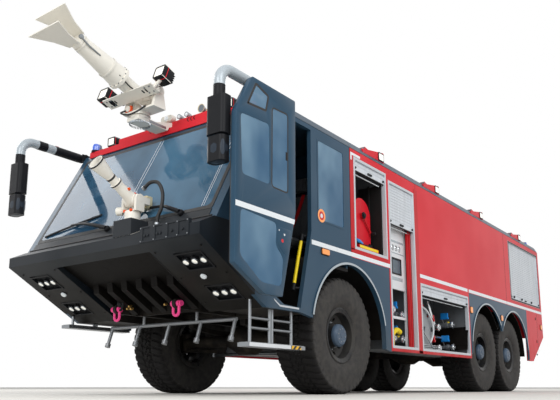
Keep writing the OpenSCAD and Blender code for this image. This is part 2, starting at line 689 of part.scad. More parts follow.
// Ribs of the recess on their sloping back plate
module grille() color("#55585a") {
  x0 = chin_x + 100;
  x1 = nose_x - 126;
  side_plate([[x0, chin_at(x0) + 120], [x1, chin_at(x1) + 60], [x1, chin_at(x1) + 80], [x0, chin_at(x0) + 140]],
    -recess_half_w + seat, recess_half_w - seat);
  for (i = [-2.5:1:2.5]) side_plate([
    [chin_x + 60, chin_at(chin_x + 60)], [chin_x + 440, chin_at(chin_x + 440)], [chin_x + 460, chin_at(chin_x + 460) + 100],
    [x0, chin_at(x0) + 130], [chin_x + 60, chin_at(chin_x + 60) + 30]], i * 236 - 45, i * 236 + 45);
}

// Headlamps: each row on a tray over its pocket
module headlamps() color("white") both_sides() for (l = lamp_rows) on_chin(front_axle_x + l[0]) {
  box([-150, lamp_ys[0] - 80, nose_t + seat], [150, lamp_ys[2] + 80, nose_t + 15]);
  for (y = lamp_ys) translate([0, y, 4]) cylinder(r = l[1], h = nose_t);
}

// Red strip over the windscreen, with its raised middle
roof_front_x = screen_x(side_top_z) - 90;
panel_z = 3170;
panel_half_w = 850;

module roof_strip() color(fire_red) {
  side_plate([[roof_front_x + 1, side_top_z - 4], [roof_front_x + 97, side_top_z - 4], [roof_front_x + 122, side_top_z - 50],
    [roof_front_x + 136, side_top_z - 50], [roof_front_x + 136, side_top_z + 25], [roof_front_x + 1, side_top_z + 25]], -side_y + 140, side_y - 140);
  side_plate([[roof_front_x - 280, side_top_z + roof_rise + seat], [roof_front_x + 1, side_top_z + roof_rise + seat],
    [roof_front_x + 1, side_top_z + 24], [roof_front_x + 92, side_top_z + 24], [roof_front_x + 92, panel_z - 12],
    [roof_front_x + 76, panel_z], [roof_front_x - 280, panel_z]], -panel_half_w, panel_half_w);
}

// A square work lamp on a short foot, its face looking forward
module work_lamp(x, y, z) translate([x, y, z]) {
  cylinder(r = 14, h = 30);
  difference() {
    box([-45, -65, 24], [45, 65, 136]);
    box([38, -52, 37], [46, 52, 123]);
  }
  for (i = [-2:2]) box([-62, i * 24 - 3, 30], [-44, i * 24 + 3, 130]);
}

side_lamps = [790, 2690, 4710, 7000];

module roof_lamps() color("#4060c0") {
  strip_z = panel_z + seat;
  both_sides() {
    translate([screen_x(side_top_z) - 20, side_y - 210, side_top_z + 25 + seat]) {
      cylinder(r = 62, h = 60);
      cylinder(r1 = 56, r2 = 50, h = 100);
      translate([0, 0, 100]) cylinder(r1 = 50, r2 = 34, h = 14);
    }
    for (x = side_lamps) difference() {
      side_plate([[front_axle_x - x - 330, side_top_z + roof_rise + seat], [front_axle_x - x - 300, side_top_z + 110],
        [front_axle_x - x + 110, side_top_z + 185], [front_axle_x - x + 130, side_top_z + roof_rise + seat]],
        side_y - 200, side_y - 75);
      side_plate([[front_axle_x - x + 106, side_top_z + 90], [front_axle_x - x + 100, side_top_z + 168],
        [front_axle_x - x + 140, side_top_z + 168], [front_axle_x - x + 140, side_top_z + 90]], side_y - 188, side_y - 87);
    }
    translate([rear_x + 450, side_y - 150, side_top_z + roof_rise + seat]) {
      cylinder(r = 72, h = 50);
      cylinder(r1 = 66, r2 = 58, h = 105);
    }
    for (z = [1260, 1400, 1540]) translate([rear_x - 12, side_y - 190, z]) rotate([0, 90, 0]) cylinder(r = 55, h = 12 - seat);
  }
  for (y = [-400, -300, 185, 305]) translate([roof_front_x + 40, y, strip_z]) {
    cylinder(r = 10, h = 20);
    translate([-35, 0, 42]) rotate([0, 90, 0]) cylinder(r1 = 22, r2 = 30, h = 70);
  }
  translate([roof_front_x + 10, 540, strip_z]) {
    cylinder(r = 12, h = 40);
    translate([-60, 0, 54]) rotate([0, 90, 0]) {
      cylinder(r = 22, h = 60);
      translate([0, 0, 59]) cylinder(r1 = 22, r2 = 50, h = 65);
    }
  }
  for (s = [-1, 1]) work_lamp(roof_front_x + 66, s * (panel_half_w + 130), side_top_z + 25 + seat);
}

// Mirrors: a curved arm from the roof corner and two heads
mirror_x = front_axle_x + 2440;
mirror_y = side_y + 110;

mirror_root = [front_axle_x + 1562, side_y + 6, 3060];
mirror_bend_r = 165;
mirror_arm_r = 55;
mirror_head_z = [[2365, 2740], [2105, 2345]];

// A box with its edges along Z rounded to r
module pillow(a, b, r) {
  box([a[0] + r, a[1], a[2]], [b[0] - r, b[1], b[2]]);
  box([a[0], a[1] + r, a[2]], [b[0], b[1] - r, b[2]]);
  for (x = [a[0] + r, b[0] - r], y = [a[1] + r, b[1] - r]) translate([x, y, a[2]]) cylinder(r = r, h = b[2] - a[2]);
}

module mirrors() color(dark) both_sides() {
  bend = [mirror_x - mirror_bend_r, mirror_y, mirror_root[2]];
  box(mirror_root - [60, 6 - seat, 65], mirror_root + [60, 12, 30]);
  bar_y(mirror_root[0], mirror_root[2], mirror_root[1], mirror_y, 40);
  translate([mirror_root[0], mirror_y, mirror_root[2]]) sphere(r = mirror_arm_r);
  bar_x(mirror_root[0], bend[0], mirror_y, mirror_root[2], mirror_arm_r);
  translate([bend[0], mirror_y, bend[2] - mirror_bend_r]) rotate([90, 0, 0])
    rotate_extrude(angle = 90) translate([mirror_bend_r, 0]) circle(r = mirror_arm_r, $fn = 32);
  translate([mirror_x, mirror_y, mirror_head_z[0][1] - 5]) cylinder(r = mirror_arm_r, h = bend[2] - mirror_bend_r - mirror_head_z[0][1] + 5);
  pillow([mirror_x - 68, mirror_y - 112, mirror_head_z[0][0]], [mirror_x + 68, mirror_y + 112, mirror_head_z[0][1]], 45);
  translate([mirror_x, mirror_y, mirror_head_z[1][1] - 5]) cylinder(r = 30, h = mirror_head_z[0][0] - mirror_head_z[1][1] + 10);
  pillow([mirror_x - 66, mirror_y - 104, mirror_head_z[1][0]], [mirror_x + 66, mirror_y + 104, mirror_head_z[1][1]], 52);
}

// Boarding steps, lowered under the open left door and raised under the right one
low_step_z = 470;
high_step_z = 790;
step_x = [1000, 1340, 1380, 1700];
step_y = side_y - 100;

// Steps of one side with their platform's underside at z; lowered ones have rungs
module side_steps(z) {
  for (x = step_x) rod([front_axle_x + x, step_y, z + 20],
    [front_axle_x + x, step_y, max(chin_z, chin_at(front_axle_x + x) - 10) - seat], 16);
  if (z < 600) for (h = [660, 760], i = [0, 2]) bar_x(front_axle_x + step_x[i], front_axle_x + step_x[i + 1], step_y, h, 14);
  box([front_axle_x + 850, step_y - 70, z], [front_axle_x + 1800, step_y + 80, z + 40]);
}

// Steps and, on the rear wall, a ladder to the roof on each side
ladder_y = 1000;
module steps() color(steel) {
  side_steps(low_step_z);
  mirror([0, 1, 0]) side_steps(high_step_z);
  both_sides() rear_ladder();
}

module rear_ladder() {
  for (y = [ladder_y - 170, ladder_y + 170]) {
    rod([rear_x - 45, y, 1250], [rear_x - 45, y, side_top_z + 60], 16);
    for (z = [1300, side_top_z - 120]) rod([rear_x - 45, y, z], [rear_x - seat, y, z], 14);
  }
  for (z = [1340:280:3020]) bar_y(rear_x - 45, z, ladder_y - 170, ladder_y + 170, 13);
}
module bar_x(x0, x1, y, z, r) translate([x0, y, z]) rotate([0, 90, 0]) cylinder(r = r, h = x1 - x0);

// Roof monitor on an arm ahead of the roof: a turning fork, and a lifting barrel with a flared nozzle
roof_mon_x = front_axle_x + 1980;
roof_base_z = 3075;
trunnion_r = 40;
swivel_r = 50;
fork_y = [-190, -150, 275, 315];
fork_gap = 30;
leaf_x = 965;
leaf_l = (roof_barrel_l - leaf_x) / cos(18);

module roof_monitor_base() {
  side_plate([[roof_front_x + 92 + seat, roof_base_z + 1], [roof_front_x + 138, roof_base_z + 1], [roof_front_x + 165, 3030],
    [roof_mon_x + 110, 3030], [roof_mon_x + 110, roof_base_z], [roof_mon_x - 150, roof_base_z],
    [roof_front_x + 92 + seat, panel_z - 20]], -95, 95);
  translate([roof_mon_x, 0, roof_base_z - 1]) {
    cylinder(r = 105, h = 26);
    cylinder(r = swivel_r, h = 70);
  }
}

module roof_monitor_head() color(cream) translate([roof_mon_x, 0, roof_base_z + fork_gap]) {
  difference() {
    union() {
      cylinder(r = 118, h = 35);
      box([-90, fork_y[0], 34], [90, fork_y[3], 54]);
    }
    translate([0, 0, -1]) cylinder(r = swivel_r + bearing, h = 80);
  }
  for (i = [0, 2]) difference() {
    union() {
      side_plate([[-90, 53], [90, 53], [50, roof_barrel_z - roof_base_z - fork_gap], [-50, roof_barrel_z - roof_base_z - fork_gap]],
        fork_y[i], fork_y[i + 1]);
      bar_y(0, roof_barrel_z - roof_base_z - fork_gap, fork_y[i], fork_y[i + 1], 62);
    }
    bar_y(0, roof_barrel_z - roof_base_z - fork_gap, fork_y[0] - 1, fork_y[3] + 1, trunnion_r + bearing);
  }
}

// One leaf of the nozzle: a fan that opens from the barrel's end, tilted by a
module nozzle_leaf(z, a) translate([leaf_x - 12, 0, z]) rotate([0, -a, 0]) translate([0, 0, -6]) linear_extrude(12)
  polygon([[0, -82], [0, 82], [leaf_l / 2 - 20, 132], [leaf_l, 250], [leaf_l, -250], [leaf_l / 2 - 20, -132]]);

module roof_monitor_barrel() color(cream) translate([roof_mon_x, 0, roof_barrel_z]) rotate([0, -roof_aim, 0]) {
  bar_y(0, 0, fork_y[0] - 15, fork_y[3] + 15, trunnion_r);
  bar_y(0, 0, -72, 255, 60);
  translate([0, 100, 0]) rotate([0, 0, 90]) rotate_extrude(angle = 180) translate([100, 0]) circle(r = 66, $fn = 48);
  for (y = [0, 200]) translate([-4, y, 0]) rotate([0, 90, 0]) cylinder(r = 69, h = 53);
  rotate([0, 90, 0]) {
    cylinder(r = 88, h = 340);
    translate([0, 0, 330]) cylinder(r = 138, h = 34);
    translate([0, 0, 350]) cylinder(r1 = 130, r2 = 82, h = leaf_x - 350);
    translate([0, 0, leaf_x - 45]) cylinder(r = 92, h = 40);
  }
  nozzle_leaf(-72, -18);
  nozzle_leaf(66, -4);
  box([70, -400, -98], [210, 400, -84]);
  box([60, -400, -98], [72, 400, -30]);
  for (s = [-1, 1]) {
    rod([140, s * 380, -90], [140, s * 470, 0], 22);
    difference() {
      box([60, s * 470 - 75, -20], [200, s * 470 + 75, 130]);
      box([190, s * 470 - 60, -5], [201, s * 470 + 60, 115]);
    }
  }
}

// Bumper monitor on its pedestal
bumper_mon_x = front_axle_x + 2420;
bumper_top_z = 1720;
bumper_barrel_z = 1940;
bumper_barrel_l = 560;
bumper_pin_r = 25;
bumper_swivel_r = 30;

module bumper_monitor_base() translate([0, bumper_monitor_y, 0]) {
  side_plate([[bumper_mon_x - 96, deck_z(bumper_mon_x - 96) + seat], [nose_x - 1, deck_z(nose_x - 1) + seat],
    [nose_x - 1, bumper_top_z], [bumper_mon_x - 96, bumper_top_z]], -130, 130);
  translate([bumper_mon_x, 0, bumper_top_z - 1]) {
    cylinder(r = 85, h = 19);
    cylinder(r = bumper_swivel_r, h = 66);
  }
}

module monitor_bases() color(cream) {
  roof_monitor_base();
  bumper_monitor_base();
}

module bumper_monitor_head() color(cream) translate([bumper_mon_x, bumper_monitor_y, 0]) {
  difference() {
    translate([0, 0, bumper_top_z + 22]) cylinder(r = 80, h = 78);
    translate([0, 0, bumper_top_z]) cylinder(r = bumper_swivel_r + bearing, h = 70);
  }
  difference() {
    union() {
      box([-55, -110, bumper_top_z + 99], [55, 110, bumper_barrel_z]);
      bar_y(0, bumper_barrel_z, -110, 110, 55);
      for (s = [-1, 1]) box([-130, s * 95 - 15, bumper_barrel_z - 35], [0, s * 95 + 15, bumper_barrel_z + 35]);
    }
    bar_y(0, bumper_barrel_z, -80, 80, 100);
    box([-129, -80, bumper_top_z + 115], [100, 80, bumper_barrel_z + 90]);
    bar_y(0, bumper_barrel_z, -120, 120, bumper_pin_r + bearing);
  }
  box([-130, -110, bumper_barrel_z - 35], [-115, 110, bumper_barrel_z + 35]);
  box([-200, -60, bumper_barrel_z - 50], [-129, 60, bumper_barrel_z + 75]);
}

module bumper_monitor_barrel() color(cream) translate([bumper_mon_x, bumper_monitor_y, bumper_barrel_z]) rotate([0, -bumper_aim, 0]) {
  bar_y(0, 0, -112, 112, bumper_pin_r);
  bar_y(0, 0, -72, 72, 62);
  translate([-60, 0, 0]) rotate([0, 90, 0]) {
    cylinder(r1 = 50, r2 = 66, h = 80);
    translate([0, 0, 79]) cylinder(r1 = 66, r2 = 50, h = 240);
    translate([0, 0, 300]) cylinder(r = 62, h = 30);
    translate([0, 0, 320]) cylinder(r = 48, h = 130);
    difference() {
      translate([0, 0, 440]) cylinder(r1 = 55, r2 = 85, h = bumper_barrel_l - 440 + 60);
      translate([0, 0, 500]) cylinder(r1 = 50, r2 = 72, h = bumper_barrel_l - 500 + 61);
    }
  }
}

// Wheel arches of the fenders
arch_r = tyre_d / 2 + 165;
arch_x = front_axle_x - 115;
rear_arch_r = 840;
rear_arches = [middle_axle_x - 200, rear_axle_x - 238];
lip_w = 28;
lip_out = 12;
// Front fender's rear edge and rear fender's front edge behind the front axle, rear fender's end behind the rear axle
fender_foot = 1137;
fender_front = wheelbase - 696;
fender_rear = 1110;
// Thickness of the rear fender beside its wheels
skirt_t = 20;

// A lip standing out round the top of a wheel arch, down to z_front and z_rear
module arch_lip(x, z, r, z_front, z_rear) difference() {
  bar_y(x, z, side_y - 5, side_y + lip_out, r + lip_w);
  bar_y(x, z, side_y - 6, side_y + lip_out + 1, r);
  box([x, side_y - 6, z - 2 * r], [x + 2 * r, side_y + lip_out + 1, z_front]);
  box([x - 2 * r, side_y - 6, z - 2 * r], [x + 1, side_y + lip_out + 1, z_rear]);
}

// Body: sides with locker openings, roof, end walls, fenders

body_front_x = cab_rear_x - 20;
// Lockers: front and rear ends behind the front axle, lower and upper edges
lockers = [[230, 1110, 1760, 2960], [1170, 1980, 590, 2890], [2110, wheelbase - 740, 590, 1570]];
rear_reach = wheelbase + bogie_gap + rear_overhang;
rear_bay = [rear_reach - 2110, rear_reach - 110, 1770, 2960];
openings = concat(lockers, [rear_bay]);
liner_t = 20;
seams = [2048, wheelbase + bogie_gap - 130];
seam_w = 4;
tail_z = 1150;

// Posts, rails and panels of a side: front and rear ends behind the front axle, lower and upper edges
side_parts = [
  [cab_rear + 20, lockers[0][0], belt_z, side_top_z],
  [lockers[0][0], lockers[0][1], belt_z, lockers[0][2]],
  [lockers[0][0], lockers[0][1], lockers[0][3], side_top_z],
  [lockers[0][1], lockers[1][0], belt_z, side_top_z],
  [fender_foot, lockers[1][0], sill_z, belt_z],
  [lockers[1][0], lockers[1][1], sill_z, lockers[1][2]],
  [lockers[1][0], lockers[1][1], lockers[1][3], side_top_z],
  [lockers[1][1], seams[0], sill_z, side_top_z],
  [seams[0] + seam_w, lockers[2][0], sill_z, side_top_z],
  [lockers[2][0], lockers[2][1], sill_z, lockers[2][2]],
  [lockers[2][0], lockers[2][1], lockers[2][3], side_top_z],
  [lockers[2][1], fender_front, sill_z, side_top_z],
  [fender_front, seams[1], belt_z, side_top_z],
  [seams[1] + seam_w, rear_bay[0], belt_z, side_top_z],
  [rear_bay[0], rear_bay[1], belt_z, rear_bay[2]],
  [rear_bay[0], rear_bay[1], rear_bay[3], side_top_z],
  [rear_bay[1], rear_reach, belt_z, side_top_z]];

module body_sides() color(fire_red) both_sides() {
  for (p = side_parts) box([front_axle_x - p[1] + seat / 2, inner_y, p[2] + seat / 2], [front_axle_x - p[0] - seat / 2, side_y, p[3] - seat / 2]);
  side_plate([[rear_x, belt_z - seat / 2], [rear_x, tail_z], [rear_x + 860, 610], [rear_axle_x - fender_rear - seat, 610],
    [rear_axle_x - fender_rear - seat, belt_z - seat / 2]], inner_y, side_y);
}

module body_roof() color(grey_blue)
  translate([rear_x, 0, 0]) rotate([90, 0, 90]) linear_extrude(body_front_x - rear_x) roof_section(cab_roof_t);

module body_ends() color(fire_red) {
  end_wall(body_front_x - 40, body_front_x, belt_z);
  end_wall(rear_x, rear_x + 40, tail_z);
  for (z = [1980:70:2610]) side_plate([[rear_x + 1, z], [rear_x + 1, z - 40], [rear_x - 18, z - 40], [rear_x - 18, z - 34]], -620, 620);
  for (s = [-1, 1]) box([rear_x - 20, s * 640 - 20, 1920], [rear_x + 1, s * 640 + 20, 2640]);
}

// Fenders, with lipped wheel arches
module fenders() color(grey_blue) both_sides() {
  difference() {
    union() {
      side_plate([[front_axle_x - fender_foot, belt_z - seat], [opening_x(belt_z - seat), belt_z - seat],
        [sill_x, door_bottom_z - door_gap], [sill_x, chin_z], [front_axle_x - fender_foot, chin_z - 330]], inner_y, side_y);
      arch_lip(arch_x, axle_z, arch_r, chin_z + 20, chin_z - 300);
    }
    bar_y(arch_x, axle_z, inner_y - 50, side_y + 50, arch_r);
    box([arch_x - arch_r, inner_y - 50, 0], [arch_x + arch_r, side_y + 50, axle_z]);
  }
  difference() {
    union() {
      side_plate([[front_axle_x - fender_front, belt_z - seat], [front_axle_x - fender_front, 620], [rear_axle_x - fender_rear, 620],
        [rear_axle_x - fender_rear, belt_z - seat]], side_y - skirt_t, side_y);
      for (x = rear_arches) arch_lip(x, axle_z, rear_arch_r, 640, 640);
    }
    for (x = rear_arches) bar_y(x, axle_z, inner_y, side_y + 50, rear_arch_r);
    box([rear_arches[1] - rear_arch_r, inner_y, 0], [rear_arches[0] + rear_arch_r, side_y + 50, axle_z]);
    box([rear_arches[1], inner_y, 0], [rear_arches[0], side_y + 50, axle_z + 420]);
  }
}

reel_x = front_axle_x - 755;
reel_z = 2320;
reel_r = 25;
reel_y = inner_y - 335;
flange_r = 222;
case_r = 240;
case_t = 12;
crank_l = 300;

module locker_liners() color("#8a8d8f") both_sides() for (i = [0:2]) {
  a = [front_axle_x - lockers[i][1] - 10, inner_y - locker_depth, lockers[i][2] - 10];
  b = [front_axle_x - lockers[i][0] + 10, inner_y - seat, lockers[i][3] + 10];
  wall_y = a[1] + liner_t + seat;
  difference() {
    union() {
      box(a, [b[0], a[1] + liner_t, b[2]]);
      if (i == 0) box([reel_x - 60, a[1] + 1, reel_z - 60], [reel_x + 60, a[1] + 80, reel_z + 60]);
    }
    if (i == 0) bar_y(reel_x, reel_z, a[1] + liner_t + 4, inner_y, reel_r + bearing);
  }
  for (x = [a[0], b[0] - liner_t]) box([x, wall_y, a[2]], [x + liner_t, b[1], b[2]]);
  for (z = [a[2], b[2] - liner_t]) box([a[0] + liner_t + seat, wall_y, z], [b[0] - liner_t - seat, b[1], z + liner_t]);
}

// Roller shutters in aluminium frames: rolled up, half down over the middle locker, down over the rear bay
frame_w = 35;
slat_h = 40;
bar_h = 70;
shutter_feet = [lockers[0][3] - frame_w - 130, 2290, lockers[2][3] - frame_w - 130, rear_bay[2] + frame_w + seat];

module opening_frame(l) {
  x0 = front_axle_x - l[1];
  x1 = front_axle_x - l[0];
  for (x = [x0 + seat, x1 - frame_w]) box([x, inner_y, l[2] + seat], [x + frame_w - seat, side_y + 4, l[3] - seat]);
  for (z = [l[2] + seat, l[3] - frame_w])
    box([x0 + frame_w + seat, inner_y, z], [x1 - frame_w - seat, side_y + 4, z + frame_w - seat]);
}

// Slats with rounded backs from z0 to z1 over a heavier end bar, on the frame of opening l
module shutter(l, z0) {
  z1 = l[3] - frame_w - seat;
  n = floor((z1 - z0 - bar_h) / slat_h);
  h = (z1 - z0 - bar_h) / n;
  translate([front_axle_x - l[1] + frame_w + seat, side_y - 20, 0]) rotate([90, 0, 90])
    linear_extrude(l[1] - l[0] - 2 * frame_w - 2 * seat) polygon(concat(
      [[-12, z1], [-12, z0 + bar_h], [-16, z0 + bar_h - 6], [-16, z0], [8, z0], [8, z0 + bar_h - 6]],
      [for (i = [0:n - 1], p = [[0, 0], [5, 0.2], [6, 0.5], [4, 0.8]]) [p[0], z0 + bar_h + (i + p[1]) * h]], [[0, z1]]));
}

module shutters() color("#c9cdd0") both_sides() for (i = [0:3]) {
  opening_frame(openings[i]);
  shutter(openings[i], shutter_feet[i]);
}

// Hose reels in the front lockers, each with a crank in front of its case
module hose_reel_left() color(fire_red) translate([0, reel_y, 0]) {
  bar_y(reel_x, reel_z, -150, 150, 150);
  for (y = [-160, 148]) bar_y(reel_x, reel_z, y, y + 12, flange_r);
  bar_y(reel_x, reel_z, -235, 225, reel_r);
  translate([reel_x, 0, reel_z]) rotate([0, 134, 0]) {
    box([-18, 213, -15], [crank_l, 225, 15]);
    bar_y(0, 0, 205, 225, 42);
    bar_y(crank_l, 0, 213, 285, 17);
  }
}
module hose_reel_right() mirror([0, 1, 0]) hose_reel_left();

// Reel cases: a rounded front on two side plates, with a guide for the hose at its foot
module reel_cases() color(fire_red) both_sides() {
  foot = lockers[0][2] + 10 + seat;
  difference() {
    union() {
      bar_y(reel_x, reel_z, reel_y + 180, reel_y + 180 + case_t, case_r);
      box([reel_x - case_r, reel_y + 180, foot], [reel_x + case_r, reel_y + 180 + case_t, reel_z]);
      for (s = [-1, 1]) box([reel_x + s * (case_r - 4) - 4, reel_y - 150, foot], [reel_x + s * (case_r - 4) + 4, reel_y + 181, reel_z]);
      box([reel_x - case_r - 20, reel_y + 191, foot + 60], [reel_x + case_r + 20, reel_y + 300, foot + 110]);
      for (s = [-1, 1]) box([reel_x + s * case_r - 20, reel_y + 191, foot], [reel_x + s * case_r + 20, reel_y + 300, foot + 61]);
    }
    bar_y(reel_x, reel_z, reel_y + 170, reel_y + 200, reel_r + bearing);
  }
}

// Pump panel in the middle locker: a cabinet with a screen, dials and switches over a rack
panel_x = front_axle_x - 1215;
panel_end_x = front_axle_x - 1935;
panel_y = inner_y - 90;
dials = [120, 220, 320, 420, 520];

module pump_panels() color("#d9dcdf") both_sides() {
  difference() {
    box([panel_end_x, panel_y - 60, 1480], [panel_x, panel_y, 2400]);
    box([panel_x - 563, panel_y - 15, 1645], [panel_x - 275, panel_y + 1, 1872]);
    for (x = dials) bar_y(panel_x - x, 2020, panel_y - 12, panel_y + 1, 38);
    box([panel_x - 240, panel_y - 10, 1560], [panel_x - 60, panel_y + 1, 1800]);
  }
  for (x = dials) bar_y(panel_x - x, 2020, panel_y - 13, panel_y + 14, 7);
  for (x = [100, 150, 200], z = [1600, 1680, 1760]) bar_y(panel_x - x, z, panel_y - 11, panel_y + 12, 12);
  difference() {
    box([panel_end_x, panel_y - 30, lockers[1][2] + 10 + seat], [panel_x, panel_y, 1481]);
    for (z = [lockers[1][2] + 45, 1050]) box([panel_end_x + 30, panel_y - 31, z], [panel_x - 30, panel_y + 1, z + 380]);
  }
}

// Pipework: capped outlets with levers in the lockers, drums, and a bar of spray nozzles behind the chin
locker_end = lockers[2][1];
outlets = [[1600, 1150], [1875, 1095], [1600, 750], [1875, 750], [locker_end - 830, 1010], [locker_end - 255, 1095],
           [locker_end - 830, 685], [locker_end - 255, 725]];
outlet_y = inner_y - locker_depth + liner_t + seat;
outlet_end_y = inner_y - 130;
spray_x = front_axle_x + 1420;
spray_z = 790;
drum_x = front_axle_x - lockers[2][0] - 584;
drum_z = 960;

module outlet(x, z) translate([x, 0, z]) {
  bar_y(0, 0, outlet_y, outlet_end_y, 34);
  bar_y(0, 0, outlet_end_y - 34, outlet_end_y - 8, 50);
  for (a = [0, 120, 240]) rotate([0, a, 0]) box([40, outlet_end_y - 34, -9], [60, outlet_end_y - 8, 9]);
  bar_y(0, 0, outlet_end_y - 120, outlet_end_y - 85, 48);
  bar_y(0, 0, outlet_y, outlet_y + 20, 65);
  rod([0, outlet_end_y - 160, 0], [75, outlet_end_y - 160, 105], 10);
  rod([75, outlet_end_y - 170, 105], [75, outlet_end_y - 60, 105], 11);
}

// A drum between two pierced flanges, on two feet
module drum() {
  floor_z = lockers[2][2] + 10 + seat;
  bar_y(drum_x, drum_z, inner_y - 480, inner_y - 170, 190);
  for (y = [inner_y - 490, inner_y - 180]) difference() {
    bar_y(drum_x, drum_z, y, y + 14, 300);
    for (a = [0:60:300]) translate([drum_x + 245 * cos(a), 0, drum_z + 245 * sin(a)]) bar_y(0, 0, y - 1, y + 15, 38);
  }
  for (y = [inner_y - 520, inner_y - 150]) side_plate([[drum_x - 240, floor_z], [drum_x + 240, floor_z], [drum_x + 200, floor_z + 40],
    [drum_x + 45, drum_z + 30], [drum_x - 45, drum_z + 30], [drum_x - 200, floor_z + 40]], y, y + 12);
  bar_y(drum_x, drum_z, inner_y - 520, inner_y - 138, 30);
}

module pipework() color(steel) {
  bar_y(spray_x, spray_z, -1000, 1000, 20);
  for (y = [-980:490:980]) {
    rod([spray_x, y, spray_z], [spray_x + 60, y, spray_z - 190], 20);
    translate([spray_x + 60, y, spray_z - 190]) rotate([0, 162, 0]) cylinder(r = 32, h = 45);
  }
  both_sides() {
    for (p = outlets) outlet(front_axle_x - p[0], p[1]);
    drum();
    translate([spray_x, rail_y, spray_z]) cylinder(r = 18, h = rail_z - seat - spray_z);
  }
}

chassis_frame();
axles();
knuckle_left();
knuckle_right();
tie_rod();
driveline();
engine();
water_tank();
air_tanks();
wheel_at(front_axle_x, 1) tyre();  // tyre_front_left
wheel_at(front_axle_x, 1) rim();  // rim_front_left
wheel_at(front_axle_x, -1) tyre();  // tyre_front_right
wheel_at(front_axle_x, -1) rim();  // rim_front_right
wheel_at(middle_axle_x, 1) tyre();  // tyre_middle_left
wheel_at(middle_axle_x, 1) rim();  // rim_middle_left
wheel_at(middle_axle_x, -1) tyre();  // tyre_middle_right
wheel_at(middle_axle_x, -1) rim();  // rim_middle_right
wheel_at(rear_axle_x, 1) tyre();  // tyre_rear_left
wheel_at(rear_axle_x, 1) rim();  // rim_rear_left
wheel_at(rear_axle_x, -1) tyre();  // tyre_rear_right
wheel_at(rear_axle_x, -1) rim();  // rim_rear_right
cab_floor();
cab_sides();
cab_roof();
windscreen_frame();
cab_glass();
dashboard();
steering_wheel();
seats();
door_left();
door_glass_left();
door_arm_left();
door_right();
door_glass_right();
door_arm_right();
nose();
grille();
headlamps();
roof_strip();
roof_lamps();
mirrors();
steps();
tow_shackles();
monitor_bases();
roof_monitor_head();
roof_monitor_barrel();
bumper_monitor_head();
bumper_monitor_barrel();
body_sides();
body_roof();
body_ends();
fenders();
locker_liners();
shutters();
hose_reel_left();
hose_reel_right();
reel_cases();
pump_panels();
pipework();
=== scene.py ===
"""Looks of the three-axle airport fire truck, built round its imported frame.

Metres throughout. +X is the truck's front, +Y its left, Z = 0 the ground.
"""
from math import cos, pi, radians, sin

import bmesh
import bpy
import numpy as np
from mathutils import Matrix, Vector
from bpy.props import FloatProperty, FloatVectorProperty, IntProperty, PointerProperty


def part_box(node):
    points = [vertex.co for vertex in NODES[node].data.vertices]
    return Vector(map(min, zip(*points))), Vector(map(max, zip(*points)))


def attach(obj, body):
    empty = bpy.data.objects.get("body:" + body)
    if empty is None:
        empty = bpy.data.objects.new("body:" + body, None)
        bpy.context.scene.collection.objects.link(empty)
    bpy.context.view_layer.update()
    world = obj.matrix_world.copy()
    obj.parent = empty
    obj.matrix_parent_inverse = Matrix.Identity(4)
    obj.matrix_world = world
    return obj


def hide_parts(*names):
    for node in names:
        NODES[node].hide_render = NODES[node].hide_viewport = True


bl_info = {
    "name": "Airport fire truck looks",
    "version": (1, 0, 0),
    "blender": (4, 5, 0),
    "location": "View3D > Sidebar > Truck",
    "description": "Dresses the packed fire truck with its finishes and small parts",
    "category": "Object",
}

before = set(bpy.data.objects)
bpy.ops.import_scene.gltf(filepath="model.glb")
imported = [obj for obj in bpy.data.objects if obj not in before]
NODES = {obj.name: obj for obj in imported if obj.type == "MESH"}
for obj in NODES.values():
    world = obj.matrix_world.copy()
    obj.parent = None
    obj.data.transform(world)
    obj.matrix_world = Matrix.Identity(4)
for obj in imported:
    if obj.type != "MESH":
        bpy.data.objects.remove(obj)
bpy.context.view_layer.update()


def middle(node):
    """Centre of a CAD node's box as an array."""
    low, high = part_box(node)
    return (np.array(low) + np.array(high)) / 2


# Places read from the frame
FRONT_X = float(middle("rim_front_left")[0])
MIDDLE_X = float(middle("rim_middle_left")[0])
REAR_X = float(middle("rim_rear_left")[0])
AXLE_Z = float(middle("rim_front_left")[2])
WHEEL_Y = float(middle("tyre_front_left")[1])
SIDE = float(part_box("body_sides")[1].y)
TAIL_X = float(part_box("body_sides")[0].x)
NOSE_X = float(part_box("nose")[1].x)
# Foot and head of the windscreen and of the chin's slope, in X and Z
SCREEN_FOOT = np.array([FRONT_X + 2.286, 1.717])
SCREEN_HEAD = np.array([FRONT_X + 1.593, 3.005])
SCREEN_DIR = (SCREEN_HEAD - SCREEN_FOOT) / np.linalg.norm(SCREEN_HEAD - SCREEN_FOOT)
SCREEN_LONG = float(np.linalg.norm(SCREEN_HEAD - SCREEN_FOOT))
CHIN_FOOT = np.array([FRONT_X + 1.56, .868])
CHIN_TOP = np.array([NOSE_X, 1.437])
CHIN_DIR = (CHIN_TOP - CHIN_FOOT) / np.linalg.norm(CHIN_TOP - CHIN_FOOT)
# How far the open leaf has moved forward and out
DOOR_SHIFT = np.array([.75, .32, 0.0])
# Unit axes, and pairs of them that outlines are drawn on, as seen from the side, the end and above
AHEAD, LEFT, UP = np.eye(3)
SIDE_ON, END_ON, FLAT = (AHEAD, UP), (LEFT, UP), (AHEAD, LEFT)
# Directions up the windscreen and out of it
SCREEN_UP = np.array([SCREEN_DIR[0], 0, SCREEN_DIR[1]])
SCREEN_OUT = np.array([SCREEN_DIR[1], 0, -SCREEN_DIR[0]])
# Side lamps on the roof's edge, behind the front axle
SIDE_LAMP_XS = (.79, 2.69, 4.71, 7.0)
SIDES = (("left", 1.0), ("right", -1.0))
AXLES = (("front", FRONT_X), ("middle", MIDDLE_X), ("rear", REAR_X))
# Edges between faces that turn by more than this many degrees are rounded
BEVEL_ANGLE = 40
